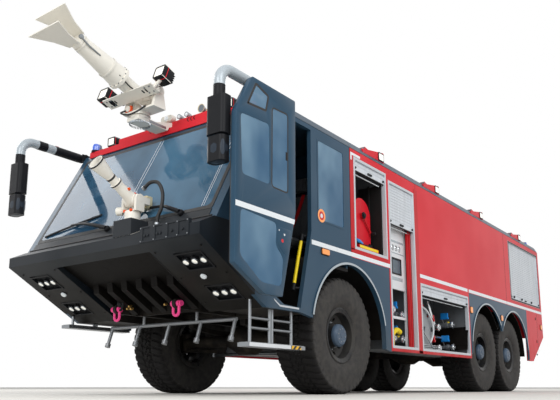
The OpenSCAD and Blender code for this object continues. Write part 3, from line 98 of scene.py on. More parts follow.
# The paint slot that takes each finish, unless a piece names another
SLOT_LOOKS = {
    "cream": ("cream", "leaf"),
    "fire_red": ("red", "red_deep"),
    "frame_black": ("chin",),
    "glass": ("glass", "lamp", "lens", "mirror", "screen", "screen_face"),
    "grey_blue": ("blue", "nose", "roof_blue"),
    "lamp_blue": ("beacon",),
    "panel_grey": ("tape", "white"),
    "rim_black": ("hub",),
    "rubber": ("hose", "rubber", "tyre"),
    "seat_fabric": ("cloth",),
    "shutter_silver": ("frame", "plate"),
    "steel": ("arm_grey", "brass", "chassis", "chrome", "steel"),
    "trim_black": ("handle_blue", "handle_red", "hazard", "mirror_grey", "plastic"),
}
SLOT_OF = {look: slot for slot, names in SLOT_LOOKS.items() for look in names}
LOOKS = {}


# ---- meshes

def unit(a):
    """Rows of a scaled to length one."""
    a = np.asarray(a, float)
    return a / np.linalg.norm(a, axis=-1, keepdims=True)


def angles(n):
    """n even angles round a circle."""
    return np.linspace(0, 2 * np.pi, n, endpoint=False)


class Shape:
    """Vertices and faces gathered as whole arrays, then made one mesh object."""

    def __init__(self):
        self.points, self.faces, self.count = [], [], 0

    def add(self, points, faces):
        """Adds points (n, 3) and faces, each a row of indices into them."""
        points = np.asarray(points, float).reshape(-1, 3)
        self.points.append(points)
        self.faces += [tuple(int(i) + self.count for i in f) for f in faces]
        self.count += len(points)
        return self

    def grid(self, p, wrap_u=False, wrap_v=False):
        """Quads over the grid p (nu, nv, 3); a wrapped direction joins its last row to its first."""
        nu, nv = p.shape[:2]
        i = np.arange(nu if wrap_u else nu - 1)[:, None]
        j = np.arange(nv if wrap_v else nv - 1)[None, :]
        i2, j2 = (i + 1) % nu, (j + 1) % nv
        quads = np.stack([i * nv + j, i2 * nv + j, i2 * nv + j2, i * nv + j2], -1).reshape(-1, 4)
        return self.add(p.reshape(-1, 3), quads)

    def turned(self, profile, centre, axis=(0, 0, 1), sides=32):
        """A profile of (radius, height) turned about axis: c + r (cos a u + sin a v) + h axis."""
        profile = np.asarray(profile, float)
        w = unit(axis)
        u = unit(np.cross(w, (0, 0, 1) if abs(w[2]) < .9 else (1, 0, 0)))
        v = np.cross(w, u)
        a = angles(sides)
        ring = np.cos(a)[:, None] * u + np.sin(a)[:, None] * v
        p = np.asarray(centre) + profile[None, :, :1] * ring[:, None, :] + profile[None, :, 1:] * w
        return self.grid(p, wrap_u=True)

    def tube(self, path, radius, sides=12, closed=False, up=None):
        """A circle of the given radius, or one per station, carried along path; ends are closed flat."""
        path = np.asarray(path, float)
        t = np.roll(path, -1, 0) - np.roll(path, 1, 0) if closed else np.gradient(path, axis=0)
        t = unit(t)
        if up is None:
            up = np.eye(3)[np.argmin(np.abs(t).max(0))]
        n = unit(np.cross(t, up))
        b = np.cross(n, t)
        a = angles(sides)
        r = np.broadcast_to(np.asarray(radius, float), (len(path),))[:, None, None]
        p = path[:, None] + r * (np.cos(a)[None, :, None] * n[:, None] + np.sin(a)[None, :,
            None] * b[:, None])
        start = self.count
        self.grid(p, wrap_u=closed, wrap_v=True)
        if not closed:
            self.faces.append(tuple(range(start, start + sides)))
            last = start + (len(path) - 1) * sides
            self.faces.append(tuple(range(last, last + sides)))
        return self

    def band(self, path, section, normal, closed=True):
        """A section of (out, up) carried along path: path + out m + up normal, m across path and normal."""
        path, section = np.asarray(path, float), np.asarray(section, float)
        t = np.roll(path, -1, 0) - np.roll(path, 1, 0) if closed else np.gradient(path, axis=0)
        m = unit(np.cross(unit(t), np.asarray(normal, float)))
        p = path[:, None] + section[None, :, :1] * m[:, None] + section[None, :,
            1:] * np.asarray(normal, float)
        start = self.count
        self.grid(p, wrap_u=closed, wrap_v=True)
        if not closed:
            k = len(section)
            self.faces.append(tuple(range(start, start + k)))
            self.faces.append(tuple(range(start + (len(path) - 1) * k, start + len(path) * k)))
        return self

    def slab(self, outline, origin, x, y, thick):
        """An outline (n, 2) on the axes x and y, raised by the vector thick."""
        outline = np.asarray(outline, float)
        base = np.asarray(origin, float) + outline[:, :1] * np.asarray(x, float) + outline[:,
            1:] * np.asarray(y, float)
        return self.prism(base, thick)

    def prism(self, base, thick):
        """A loop of points raised by the vector thick."""
        k = len(base)
        i = np.arange(k)
        walls = np.stack([i, (i + 1) % k, (i + 1) % k + k, i + k], -1)
        return self.add(np.vstack([base, base + np.asarray(thick, float)]), [*walls, i, i + k])

    def plates(self, *loops):
        """One flat face on each loop of points."""
        for loop in loops:
            self.add(loop, [range(len(loop))])
        return self

    def join(self, other):
        """Adds another shape to this one."""
        return self.add(np.vstack(other.points), other.faces)

    def boxes(self, lows, highs):
        """Boxes between rows of lowest and highest corners."""
        lows, highs = np.atleast_2d(lows).astype(float), np.atleast_2d(highs).astype(float)
        pick = np.array([[0, 0, 0], [1, 0, 0], [1, 1, 0], [0, 1, 0], [0, 0, 1], [1, 0, 1],
            [1, 1, 1], [0, 1, 1]])
        p = lows[:, None] * (1 - pick) + highs[:, None] * pick
        f = np.array([[0, 3, 2, 1], [4, 5, 6, 7], [0, 1, 5, 4], [1, 2, 6, 5], [2, 3, 7, 6], [3, 0, 4, 7]])
        faces = (f[None] + 8 * np.arange(len(p))[:, None, None]).reshape(-1, 4)
        return self.add(p.reshape(-1, 3), faces)

    def moved(self, side, shift):
        """This shape shifted, with its Y then turned to the given side."""
        s = Shape()
        s.points = [(p + shift) * [1, side, 1] for p in self.points]
        s.faces, s.count = list(self.faces), self.count
        return s

    def make(self, name, look, body="truck", slot=None, replaces=(), bevel=0.0, smooth=38):
        """The finished object: doubles merged, faces turned outwards, edges rounded.

        look is a key of LOOKS, smooth the angle in degrees above which an edge is sharp.
        """
        mesh = bpy.data.meshes.new(name)
        mesh.from_pydata(np.vstack(self.points).tolist(), [], self.faces)
        bm = bmesh.new()
        bm.from_mesh(mesh)
        bmesh.ops.remove_doubles(bm, verts=bm.verts, dist=1e-5)
        bmesh.ops.recalc_face_normals(bm, faces=bm.faces)
        bm.to_mesh(mesh)
        bm.free()
        mesh.polygons.foreach_set("use_smooth", [True] * len(mesh.polygons))
        mesh.set_sharp_from_angle(angle=radians(smooth))
        obj = bpy.data.objects.new(name, mesh)
        bpy.context.scene.collection.objects.link(obj)
        mesh.materials.append(LOOKS[look])
        if bevel:
            m = obj.modifiers.new("edges", "BEVEL")
            m.width, m.segments, m.limit_method = bevel, 2, "ANGLE"
            m.angle_limit = radians(BEVEL_ANGLE)
            m.harden_normals = True
        if replaces:
            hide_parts(*replaces)
        slot = SLOT_OF.get(look) if slot is None else slot
        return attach(obj, body)


def placer(side, sy, body="truck", shift=(0, 0, 0)):
    """A function that makes a shape drawn for the left, shifted, on the side named."""
    def put(shape, name, look, **more):
        return shape.moved(sy, shift).make(f"{name}_{side}", look, **{"body": body, **more})
    return put


def rounded(w, h, r, n=5):
    """Outline of a w by h rectangle about the origin with corners of radius r."""
    a = np.linspace(0, np.pi / 2, n)
    arc = np.stack([np.cos(a), np.sin(a)], -1) * r
    corners = []
    for sx, sy, turn in ((1, 1, 0), (-1, 1, 1), (-1, -1, 2), (1, -1, 3)):
        c, s = cos(turn * pi / 2), sin(turn * pi / 2)
        corners.append(arc @ np.array([[c, s], [-s, c]]) + [sx * (w / 2 - r), sy * (h / 2 - r)])
    return np.vstack(corners)


def eased(outline, r, n=4):
    """A polygon with each corner cut by a quadratic arc that starts r before it and ends r after it."""
    p = np.asarray(outline, float)
    before, after = unit(np.roll(p, 1, 0) - p), unit(np.roll(p, -1, 0) - p)
    t = np.linspace(0, 1, n)[None, :, None]
    a, b = p + before * r, p + after * r
    return ((1 - t) ** 2 * a[:, None] + 2 * t * (1 - t) * p[:, None] + t ** 2 * b[:, None]).reshape(-1, 2)


def side_points(outline, y):
    """An outline in X and Z put at the given Y."""
    return np.insert(np.asarray(outline, float), 1, y, 1)


def from_front(points):
    """Points with X counted from the front axle."""
    p = np.array(points, float)
    p[..., 0] += FRONT_X
    return p


def end_points(outline, x):
    """An outline in Y and Z put at the given X."""
    return np.insert(np.asarray(outline, float), 0, x, 1)


def on_slope(foot, run, across, up, w):
    """A point on a slope: across it, up it from its foot, w proud of it."""
    across, up, w = np.broadcast_arrays(*(np.asarray(a, float) for a in (across, up, w)))
    return np.stack([foot[0] + up * run[0] + w * run[1], across, foot[1] + up * run[1] - w * run[0]], -1)


def on_screen(u, v, w=0.0):
    """A point on the windscreen: u across, v up the glass from its foot, w proud of it."""
    return on_slope(SCREEN_FOOT, SCREEN_DIR, u, v, w)


def on_chin(s, y, w=0.0):
    """A point on the chin: s up the slope from its foot, y across, w proud of it, down and forward."""
    return on_slope(CHIN_FOOT, CHIN_DIR, y, s, w)


def smooth_path(points, n=40):
    """A Catmull-Rom curve through the points, at n even parameters."""
    p = np.asarray(points, float)
    q = np.vstack([2 * p[0] - p[1], p, 2 * p[-1] - p[-2]])
    s = np.linspace(0, len(p) - 1, n)
    i = np.minimum(s.astype(int), len(p) - 2)
    t = (s - i)[:, None]
    a, b, c, d = q[i], q[i + 1], q[i + 2], q[i + 3]
    return .5 * (2 * b + (c - a) * t + (2 * a - 5 * b + 4 * c - d) * t ** 2
        + (3 * b - a - 3 * c + d) * t ** 3)


# ---- finishes

def paint(code):
    """A colour code such as #c8202c as linear red, green, blue, one."""
    v = np.array([int(code[i:i + 2], 16) for i in (1, 3, 5)]) / 255
    lin = np.where(v <= .04045, v / 12.92, ((v + .055) / 1.055) ** 2.4)
    return (*lin.tolist(), 1.0)


class Socket:
    """A shader value; arithmetic on it adds Math nodes."""

    def __init__(self, look, out):
        self.look, self.out = look, out

    def _math(self, operation, *values):
        return self.look.node("ShaderNodeMath", {"operation": operation}, dict(enumerate(values)))

    def __add__(self, o):
        return self._math("ADD", self, o)

    def __sub__(self, o):
        return self._math("SUBTRACT", self, o)

    def __rsub__(self, o):
        return self._math("SUBTRACT", o, self)

    def __mul__(self, o):
        return self._math("MULTIPLY", self, o)

    def __mod__(self, o):
        return self._math("FLOORED_MODULO", self, o)

    def sine(self):
        return self._math("SINE", self)

    def ramp(self, low, high):
        """Rises smoothly from 0 at low to 1 at high."""
        return self.look.node("ShaderNodeMapRange", {"interpolation_type": "SMOOTHSTEP"},
            {"Value": self, "From Min": low, "From Max": high})

    __radd__, __rmul__ = __add__, __mul__


class Look:
    """One material while it is wired."""

    def __init__(self, name):
        self.mat = bpy.data.materials.new(name)
        self.mat.use_nodes = True
        self.tree = self.mat.node_tree
        self.tree.nodes.clear()
        self.place = self.node("ShaderNodeTexCoord", out="Object")
        self.x, self.y, self.z = (self.node("ShaderNodeSeparateXYZ", values={0: self.place}, out=i)
            for i in range(3))

    def node(self, kind, settings=None, values=None, out=0):
        """A node of a type, with its settings, then the values or links of its sockets."""
        n = self.tree.nodes.new(kind)
        for key, value in (settings or {}).items():
            setattr(n, key, value)
        for key, value in (values or {}).items():
            if isinstance(value, Socket):
                self.tree.links.new(value.out, n.inputs[key])
            else:
                n.inputs[key].default_value = value
        return Socket(self, n.outputs[out])

    def noise(self, scale, detail=3.0, rough=.55, stretch=None):
        """Noise about 0.5 on object coordinates, stretched by a factor on each axis."""
        vector = self.place
        if stretch:
            vector = self.node("ShaderNodeMapping", values={"Vector": self.place, "Scale": stretch})
        return self.node("ShaderNodeTexNoise", values={"Vector": vector, "Scale": scale, "Detail": detail,
            "Roughness": rough})

    def mix(self, factor, a, b):
        """Colour a turned to b by factor."""
        return self.node("ShaderNodeMix", {"data_type": "RGBA", "clamp_factor": True},
            {0: factor, 6: a, 7: b}, out=2)

    def bump(self, height, distance, strength=1.0):
        """A normal from a height map; distance in metres."""
        return self.node("ShaderNodeBump", values={"Strength": strength, "Distance": distance,
            "Height": height})

    def shade(self, **sockets):
        """Closes the material with a Principled shader; names with _ stand for spaces."""
        values = {k.replace("_", " "): v for k, v in sockets.items()}
        s = self.node("ShaderNodeBsdfPrincipled", values=values)
        o = self.tree.nodes.new("ShaderNodeOutputMaterial")
        self.tree.links.new(s.out, o.inputs["Surface"])
        return self.mat


def mixed(a, b, t):
    """Colours a and b mixed by the number t."""
    return tuple((1 - t) * p + t * q for p, q in zip(a, b))


def coach_paint(name, colour, dust=.35, gloss=.34, coat=.12, lower=None):
    """Gloss paint: faint tone drift and peel, road dust rising from the sills.

    lower is a second colour under the chin's slope.
    """
    k = Look(name)
    base = paint(colour)
    tone = k.mix(k.noise(.9, 2.0).ramp(.3, .7), mixed(base, (0, 0, 0, 1), .08),
        mixed(base, (1, 1, 1, 1), .02))
    if lower:
        slope = (CHIN_TOP[1] - CHIN_FOOT[1]) / (CHIN_TOP[0] - CHIN_FOOT[0])
        over = k.z - ((k.x - CHIN_FOOT[0]) * slope + CHIN_FOOT[1])
        under = paint(lower)
        worn = k.noise(3.0, 4.0, .6).ramp(.35, .75)
        tone = k.mix(over.ramp(.004, .008), k.mix(worn * .5, under, mixed(under, (.5, .45, .38, 1), .03)),
            tone)
    low = (1 - k.z.ramp(.45, 1.35)) * k.noise(5.0, 5.0, .62, (1, 1, .4)).ramp(.35, .75)
    body = k.mix(low * dust, tone, paint("#7f7a6e"))
    smears = k.noise(2.2, 4.0, .6, (.6, .6, 1.6))
    return k.shade(Base_Color=body, Roughness=smears * .08 + low * .3 + (gloss - .04), Coat_Weight=coat,
        Coat_Roughness=.12, Specular_IOR_Level=.12, Normal=k.bump(k.noise(260.0, 2.0), .00006, .3))


def satin(name, colour, rough=.5, metal=0.0, grain=.0006, dust=.2, dust_top=1.4):
    """Satin paint or moulded plastic with a fine grain, scuffs and settled dust."""
    k = Look(name)
    base = paint(colour)
    scuff = k.noise(9.0, 5.0, .65).ramp(.52, .8)
    low = (1 - k.z.ramp(.3, dust_top)) * k.noise(4.0, 5.0, .6).ramp(.3, .75)
    pale = .02 + .16 * min(1.0, 4 * max(base[:3]))
    tone = k.mix(scuff * .3, base, mixed(base, (.5, .49, .46, 1), pale))
    return k.shade(Base_Color=k.mix(low * dust, tone, paint("#7c7263")),
        Roughness=scuff * .14 + (rough - .05), Metallic=metal, Specular_IOR_Level=.1 + .2 * min(1.0,
        4 * max(base[:3])), Normal=k.bump(k.noise(330.0, 2.0), grain, .6))


def bare_metal(name, colour, rough=.3, stretch=(1, 1, 14)):
    """Drawn or brushed metal: fine streaks in colour, roughness and relief."""
    k = Look(name)
    base = paint(colour)
    streak = k.noise(60.0, 3.0, .6, stretch)
    tone = k.mix(streak, mixed(base, (0, 0, 0, 1), .16), mixed(base, (1, 1, 1, 1), .1))
    return k.shade(Base_Color=tone, Metallic=.9, Roughness=streak * .16 + (rough - .06),
        Normal=k.bump(streak, .0002, .5))


def tyre_rubber(name):
    """Tyre rubber: greyed side walls with moulded rings and rubbed dust, darker tread."""
    k = Look(name)
    dust = k.noise(11.0, 5.0, .65).ramp(.3, .72)
    worn = k.node("ShaderNodeAttribute", {"attribute_name": "wall"}, out="Fac")
    dark = k.mix(dust * .35, paint("#121112"), paint("#2b2927"))
    wall = k.mix(dust * .6, paint("#2f2e2e"), paint("#4f4c48"))
    fine = k.noise(170.0, 3.0)
    return k.shade(Base_Color=k.mix(worn, dark, wall), Roughness=dust * .12 + .72, Specular_IOR_Level=.25,
        Normal=k.bump(fine, .0009, .6))


def plain_rubber(name, colour="#151517", rough=.6):
    """Seals and hoses: matt black with a soft bloom."""
    k = Look(name)
    bloom = k.noise(24.0, 4.0, .6).ramp(.4, .8)
    return k.shade(Base_Color=k.mix(bloom * .35, paint(colour), mixed(paint(colour), (.4, .4, .4, 1), .05)),
        Roughness=bloom * .15 + (rough - .05), Normal=k.bump(k.noise(400.0, 2.0), .0003, .5))


def window_glass(name, colour, alpha, pale="#8fb0c4"):
    """Tinted safety glass: long soft clouds of a paler tint, a painted reflection of the sky, and a dusty
    film.
    """
    k = Look(name)
    film = k.noise(3.0, 4.0, .6).ramp(.4, .8)
    # Painted reflection of the sky: soft clouds that turn the tint towards the paler colour
    sky = k.noise(1.1, 3.0, .5, (1.0, 1.0, .7)).ramp(.38, .68)
    base = paint(colour)
    return k.shade(Base_Color=k.mix(sky * .55, base, paint(pale)), Roughness=film * .05 + .04,
        Alpha=film * .05 + alpha, IOR=1.45, Specular_IOR_Level=.35)


def lens(name, colour, alpha=1.0, ribs=900.0, glow=0.0):
    """Lamp lens: moulded flutes under a clear gloss."""
    k = Look(name)
    base = paint(colour)
    flutes = (k.y * ribs).sine() * .5 + .5
    speck = k.noise(40.0, 3.0)
    return k.shade(Base_Color=k.mix(flutes * .5, base, mixed(base, (1, 1, 1, 1), .25)),
        Roughness=speck * .08 + .06, Alpha=alpha, Coat_Weight=.6, Emission_Color=base, Emission_Strength=glow,
        Normal=k.bump(flutes, .0008, .6))


def shutter_metal(name):
    """Anodised slats, lightly streaked by hands and water."""
    k = Look(name)
    streak = k.noise(7.0, 5.0, .6, (3.0, 1.0, .25)).ramp(.3, .75)
    slat = k.noise(80.0, 2.0, .5, (.05, 1, 1))
    tone = k.mix(streak * .4, paint("#cfd4da"), paint("#aeb3b8"))
    return k.shade(Base_Color=tone, Metallic=.35, Roughness=slat * .12 + streak * .1 + .3,
        Normal=k.bump(slat, .0002, .5))


def cloth(name, colour):
    """Woven seat cloth: crossed threads in colour and relief."""
    k = Look(name)
    weave = ((k.x * 1900.0).sine() * (k.z * 1900.0 + k.y * 1900.0).sine()) * .5 + .5
    base = paint(colour)
    return k.shade(Base_Color=k.mix(weave * .6 + k.noise(5.0) * .2, base, mixed(base, (1, 1, 1, 1), .12)),
        Roughness=k.noise(60.0) * .1 + .82, Sheen_Weight=.25, Normal=k.bump(weave, .0006, .7))


def checker_plate(name, colour):
    """Aluminium tread plate: crossed raised bars."""
    k = Look(name)
    a = ((k.x + k.y) * 150.0).sine() * ((k.x - k.y) * 45.0).sine()
    bars = a.ramp(.35, .8)
    worn = k.noise(12.0, 4.0).ramp(.35, .75)
    tone = k.mix(bars * .5 + worn * .3, paint(colour), mixed(paint(colour), (1, 1, 1, 1), .3))
    return k.shade(Base_Color=tone, Metallic=.6, Roughness=worn * .2 + .35, Normal=k.bump(bars, .002, .8))


def hazard_tape(name):
    """Slanted yellow and black bars along X."""
    k = Look(name)
    bar = ((k.x + k.z) * (1 / .085)) % 1.0
    mask = bar.ramp(.47, .53) * (1 - bar.ramp(.96, 1.0))
    rub = k.noise(50.0, 3.0).ramp(.45, .8)
    return k.shade(Base_Color=k.mix(mask, paint("#e8b21a"), paint("#151515")), Roughness=rub * .2 + .4)


def stripe_tape(name, colour):
    """Reflective tape: tiny cells that catch the light."""
    k = Look(name)
    cells = k.node("ShaderNodeTexVoronoi", {"feature": "F1"}, {"Vector": k.place, "Scale": 320.0})
    base = paint(colour)
    return k.shade(Base_Color=k.mix(cells * .8, base, mixed(base, (0, 0, 0, 1), .12)),
        Roughness=cells * .12 + .22, Coat_Weight=.4, Normal=k.bump(cells, .0003, .4))


def looks():
    """Every finish, made once."""
    if LOOKS:
        return LOOKS
    p = bpy.context.scene.truck_paint
    LOOKS.update(
        blue=coach_paint("grey_blue_paint", "#28465c", .25),
        roof_blue=coach_paint("roof_edge_paint", "#2c4254", .1, .36),
        red=coach_paint("fire_red_paint", "#d41728", .15, coat=.03),
        # A darker copy of the fire red for the borders, reels and locker edges: painted shade
        red_deep=coach_paint("fire_red_shaded", "#c00f1a", .1, coat=.03),
        chin=satin("chin_paint", "#0b0908", .5, dust=.05),
        nose=coach_paint("nose_paint", "#10171e", .04, .45, .02, "#0a0807"),
        chassis=satin("chassis_paint", "#1d1c1c", .6, dust=.4, dust_top=1.2),
        rim=coach_paint("rim_black", "#17171a", .18, .24),
        hub=coach_paint("hub_grey", "#43566b", .2, .36),
        tyre=tyre_rubber("tyre_rubber"),
        rubber=plain_rubber("black_rubber"),
        plastic=satin("black_plastic", "#1b1c1f", .46, dust=.1),
        mirror_grey=satin("mirror_housing", "#2b333d", .34, grain=.0003, dust=0.0),
        arm_grey=satin("mirror_arm", "#a9b2b8", .3, .1, .0003, 0.0),
        white=satin("white_panel", "#d9dcdf", .38, grain=.0002, dust=.1),
        frame=bare_metal("locker_frame_metal", "#c9ced3", .34),
        steel=bare_metal("machined_steel", "#8f9499", .32),
        chrome=bare_metal("reflector", "#dfe3e6", .1, (1, 1, 1)),
        cream=satin("monitor_cream", "#e6e2d8", .34, grain=.0002, dust=0.0),
        leaf=satin("nozzle_leaf", "#d8cca6", .4, grain=.0003, dust=0.0),
        brass=bare_metal("brass", "#b98f3e", .3, (1, 1, 1)),
        shutter=shutter_metal("shutter_slats"),
        locker=satin("locker_lining", "#63676b", .5, .25, dust=.2),
        plate=checker_plate("tread_plate", "#9a9c9d"),
        tank=satin("tank_grey", "#5c6266", .5, dust=.3),
        # Both glasses carry a painted reflection of the sky; the last colour given to the screen glass is the
        # tint of that reflection
        glass=window_glass("window_glass", p.glass_tint_code, p.glass_density),
        screen=window_glass("screen_glass", "#2a4c66", .86, "#5a86a3"),
        lens=lens("clear_lens", "#e6edf2", .9, glow=.05),
        lamp=lens("lamp_face", "#f5f3ea", 1.0, 500.0, glow=.35),
        amber=lens("amber_lens", "#ef8b12", 1.0, glow=.15),
        tail=lens("red_lens", "#c3121a", 1.0, glow=.05),
        beacon=lens("blue_beacon", "#1353c4", 1.0, 120.0, glow=.1),
        pink=satin("pink_paint", "#f2488f", .4, dust=0.0),
        yellow=satin("yellow_paint", "#f2d312", .4, dust=0.0),
        handle_blue=satin("blue_handle", "#1f86d6", .36, dust=0.0),
        handle_red=satin("red_handle", "#c81c22", .36, dust=0.0),
        orange=satin("orange_cap", "#e4521b", .4, dust=0.0),
        hose=plain_rubber("hose_red", "#8e1a1e", .65),
        cloth=cloth("seat_cloth", "#2b3038"),
        tape=stripe_tape("white_stripe", "#e3e8ec"),
        hazard=hazard_tape("hazard_tape"),
        mirror=bare_metal("mirror_glass", "#c6d3dd", .08, (1, 1, 1)),
        rib=satin("grille_ribs", "#0d0b0a", .6, dust=.03),
        pipe=satin("pipe_grey", "#8b8f93", .38, .5, dust=.2),
        panel=satin("pump_cabinet", "#dcdfe2", .36, grain=.0002, dust=.08),
        plastic_grey=satin("lamp_body_grey", "#6d747b", .4, grain=.0003, dust=0.0),
        screen_face=satin("display_face", "#56646e", .22, grain=.0001, dust=0.0),
    )
    return LOOKS


# ---- settings

class TruckPaint(bpy.types.PropertyGroup):
    """Colours that a user would change."""

    glass_tint: FloatVectorProperty(name="Glass tint", description="Colour of the side windows",
        subtype="COLOR", size=3, min=0, max=1, default=(.2, .37, .5))
    glass_density: FloatProperty(name="Glass density",
        description="How much the side windows hide the inside", subtype="FACTOR", min=0, max=1, default=.8)

    @property
    def glass_tint_code(self):
        return "#" + "".join(f"{round(c * 255):02x}" for c in self.glass_tint)


class TruckSizes(bpy.types.PropertyGroup):
    """Sizes of the dressing that a user would change."""

    tread_depth: FloatProperty(name="Tread depth",
        description="Depth of the grooves between the tread blocks", unit="LENGTH", min=.004,
        max=.03, default=.018)
    tread_blocks: IntProperty(name="Tread blocks", description="Blocks round a tyre", min=20,
        max=80, default=44)
    stripe_low: FloatProperty(name="Stripe foot", description="Lower edge of the side stripe",
        unit="LENGTH", default=1.652)
    stripe_high: FloatProperty(name="Stripe head", description="Upper edge of the side stripe",
        unit="LENGTH", default=1.705)

class Piece(bpy.types.Operator):
    """Common ground of the operators that dress the truck."""

    bl_options = {"REGISTER", "UNDO"}

    def execute(self, context):
        looks()
        self.build(context.scene.truck_sizes)
        return {"FINISHED"}


# ---- stage

# The photo's size in pixels, the row of its horizon, and the camera fitted to it
PHOTO_WIDE, PHOTO_HIGH, HORIZON_ROW = 560, 400, 261.65
CAMERA_LENS = 42.54
CAMERA_AT = (FRONT_X + 6.7593, 5.4893, .0875)
CAMERA_AHEAD = (-.79167, -.58201, .18579)


def aim(obj, place, direction):
    """Links obj and puts it at place, upright, looking along direction."""
    forward = unit(direction)
    right = unit(np.cross(forward, UP))
    obj.location = place
    obj.rotation_mode = "QUATERNION"
    axes = np.stack([right, np.cross(right, forward), -forward], 1)
    obj.rotation_quaternion = Matrix(axes.tolist()).to_quaternion()
    bpy.context.scene.collection.objects.link(obj)


class TRUCK_OT_stage(Piece):
    """Camera at the photo's place, pale floor, white sky and soft lamps"""
    bl_idname = "truck.stage"
    bl_label = "Stage"

    def build(self, s):
        scene = bpy.context.scene
        cam = bpy.data.cameras.new("camera")
        cam.sensor_width, cam.lens = 36.0, CAMERA_LENS
        cam.shift_y = (HORIZON_ROW - PHOTO_HIGH / 2) / PHOTO_WIDE
        cam.clip_end = 300
        scene.camera = bpy.data.objects.new("camera", cam)
        aim(scene.camera, CAMERA_AT, CAMERA_AHEAD)

        floor = Look("floor_concrete")
        joint = floor.noise(2.0, 5.0, .6)
        mat = floor.shade(Base_Color=floor.mix(joint, paint("#d9d6cf"), paint("#e6e3dc")), Roughness=.75)
        mesh = bpy.data.meshes.new("floor")
        mesh.from_pydata([(-90, -90, 0), (90, -90, 0), (90, 90, 0), (-90, 90, 0)], [], [(0, 1, 2, 3)])
        mesh.materials.append(mat)
        ground = bpy.data.objects.new("floor", mesh)
        scene.collection.objects.link(ground)

        world = bpy.data.worlds.new("sky")
        scene.world = world
        world.use_nodes = True
        t = world.node_tree
        t.nodes.clear()
        ray = t.nodes.new("ShaderNodeLightPath")
        seen = ray.outputs["Is Camera Ray"]
        for kind in ("Is Transmission Ray", "Is Glossy Ray"):
            either = t.nodes.new("ShaderNodeMath")
            either.operation = "MAXIMUM"
            t.links.new(seen, either.inputs[0])
            t.links.new(ray.outputs[kind], either.inputs[1])
            seen = either.outputs[0]
        plain, soft = t.nodes.new("ShaderNodeBackground"), t.nodes.new("ShaderNodeBackground")
        plain.inputs[0].default_value, plain.inputs[1].default_value = (1, 1, 1, 1), 1.0
        soft.inputs[0].default_value, soft.inputs[1].default_value = (.93, .96, 1.0, 1), .52
        mix, end = t.nodes.new("ShaderNodeMixShader"), t.nodes.new("ShaderNodeOutputWorld")
        t.links.new(seen, mix.inputs[0])
        t.links.new(soft.outputs[0], mix.inputs[1])
        t.links.new(plain.outputs[0], mix.inputs[2])
        t.links.new(mix.outputs[0], end.inputs[0])

        for name, place, target, size, power in (("key", (9, 20, 13), (0, 0, 1.5), 13, 2500),
                ("front", (17, 4, 8), (2, 0, 1.5), 9, 1100), ("far", (4, -16, 10), (0, 0, 1.5), 10, 1000),
                ("back", (-18, -9, 10), (-3, 0, 1.5), 10, 900)):
            lamp = bpy.data.lights.new(name, "AREA")
            lamp.size, lamp.energy = size, power
            aim(bpy.data.objects.new(name, lamp), place, np.subtract(target, place))
        scene.view_settings.view_transform = "Standard"


# ---- finishes of the frame's pieces

# The hose reels take the darker copy of the fire red, which is painted shade
NODE_LOOKS = {"chassis": ["chassis_frame", "axles", "knuckle_left", "knuckle_right", "driveline", "air_tanks",
    "cab_floor"], "steel": ["tie_rod", "engine", "steps"], "pipe": ["pipework"], "rib": ["grille"],
    "tank": ["water_tank"], "blue": ["cab_sides", "windscreen_frame", "door_left", "door_right", "fenders"],
    "roof_blue": ["cab_roof", "body_roof"], "glass": ["cab_glass", "door_glass_left", "door_glass_right"],
    "plastic": ["dashboard", "steering_wheel", "door_arm_left", "door_arm_right", "mirrors", "headlamps"],
    "cloth": ["seats"], "nose": ["nose"], "red": ["roof_strip", "body_sides", "body_ends", "reel_cases"],
    "plastic_grey": ["roof_lamps"], "pink": ["tow_shackles"], "cream": ["monitor_bases", "roof_monitor_head",
    "roof_monitor_barrel", "bumper_monitor_head", "bumper_monitor_barrel"], "locker": ["locker_liners"],
    "panel": ["pump_panels"], "shutter": ["shutters"], "red_deep": ["hose_reel_left", "hose_reel_right"],}


class TRUCK_OT_finishes(Piece):
    """Gives every frame piece its finish"""
    bl_idname = "truck.finishes"
    bl_label = "Finishes"

    def build(self, s):
        for name, obj in NODES.items():
            look = next((key for key, nodes in NODE_LOOKS.items() if name in nodes), None)
            if look is None:
                look = "tyre" if name.startswith("tyre") else "rim"
            obj.data.materials.clear()
            obj.data.materials.append(LOOKS[look])


# ---- wheels

# Points round a tyre and over its section
TYRE_ROUND, TYRE_ACROSS = 528, 92


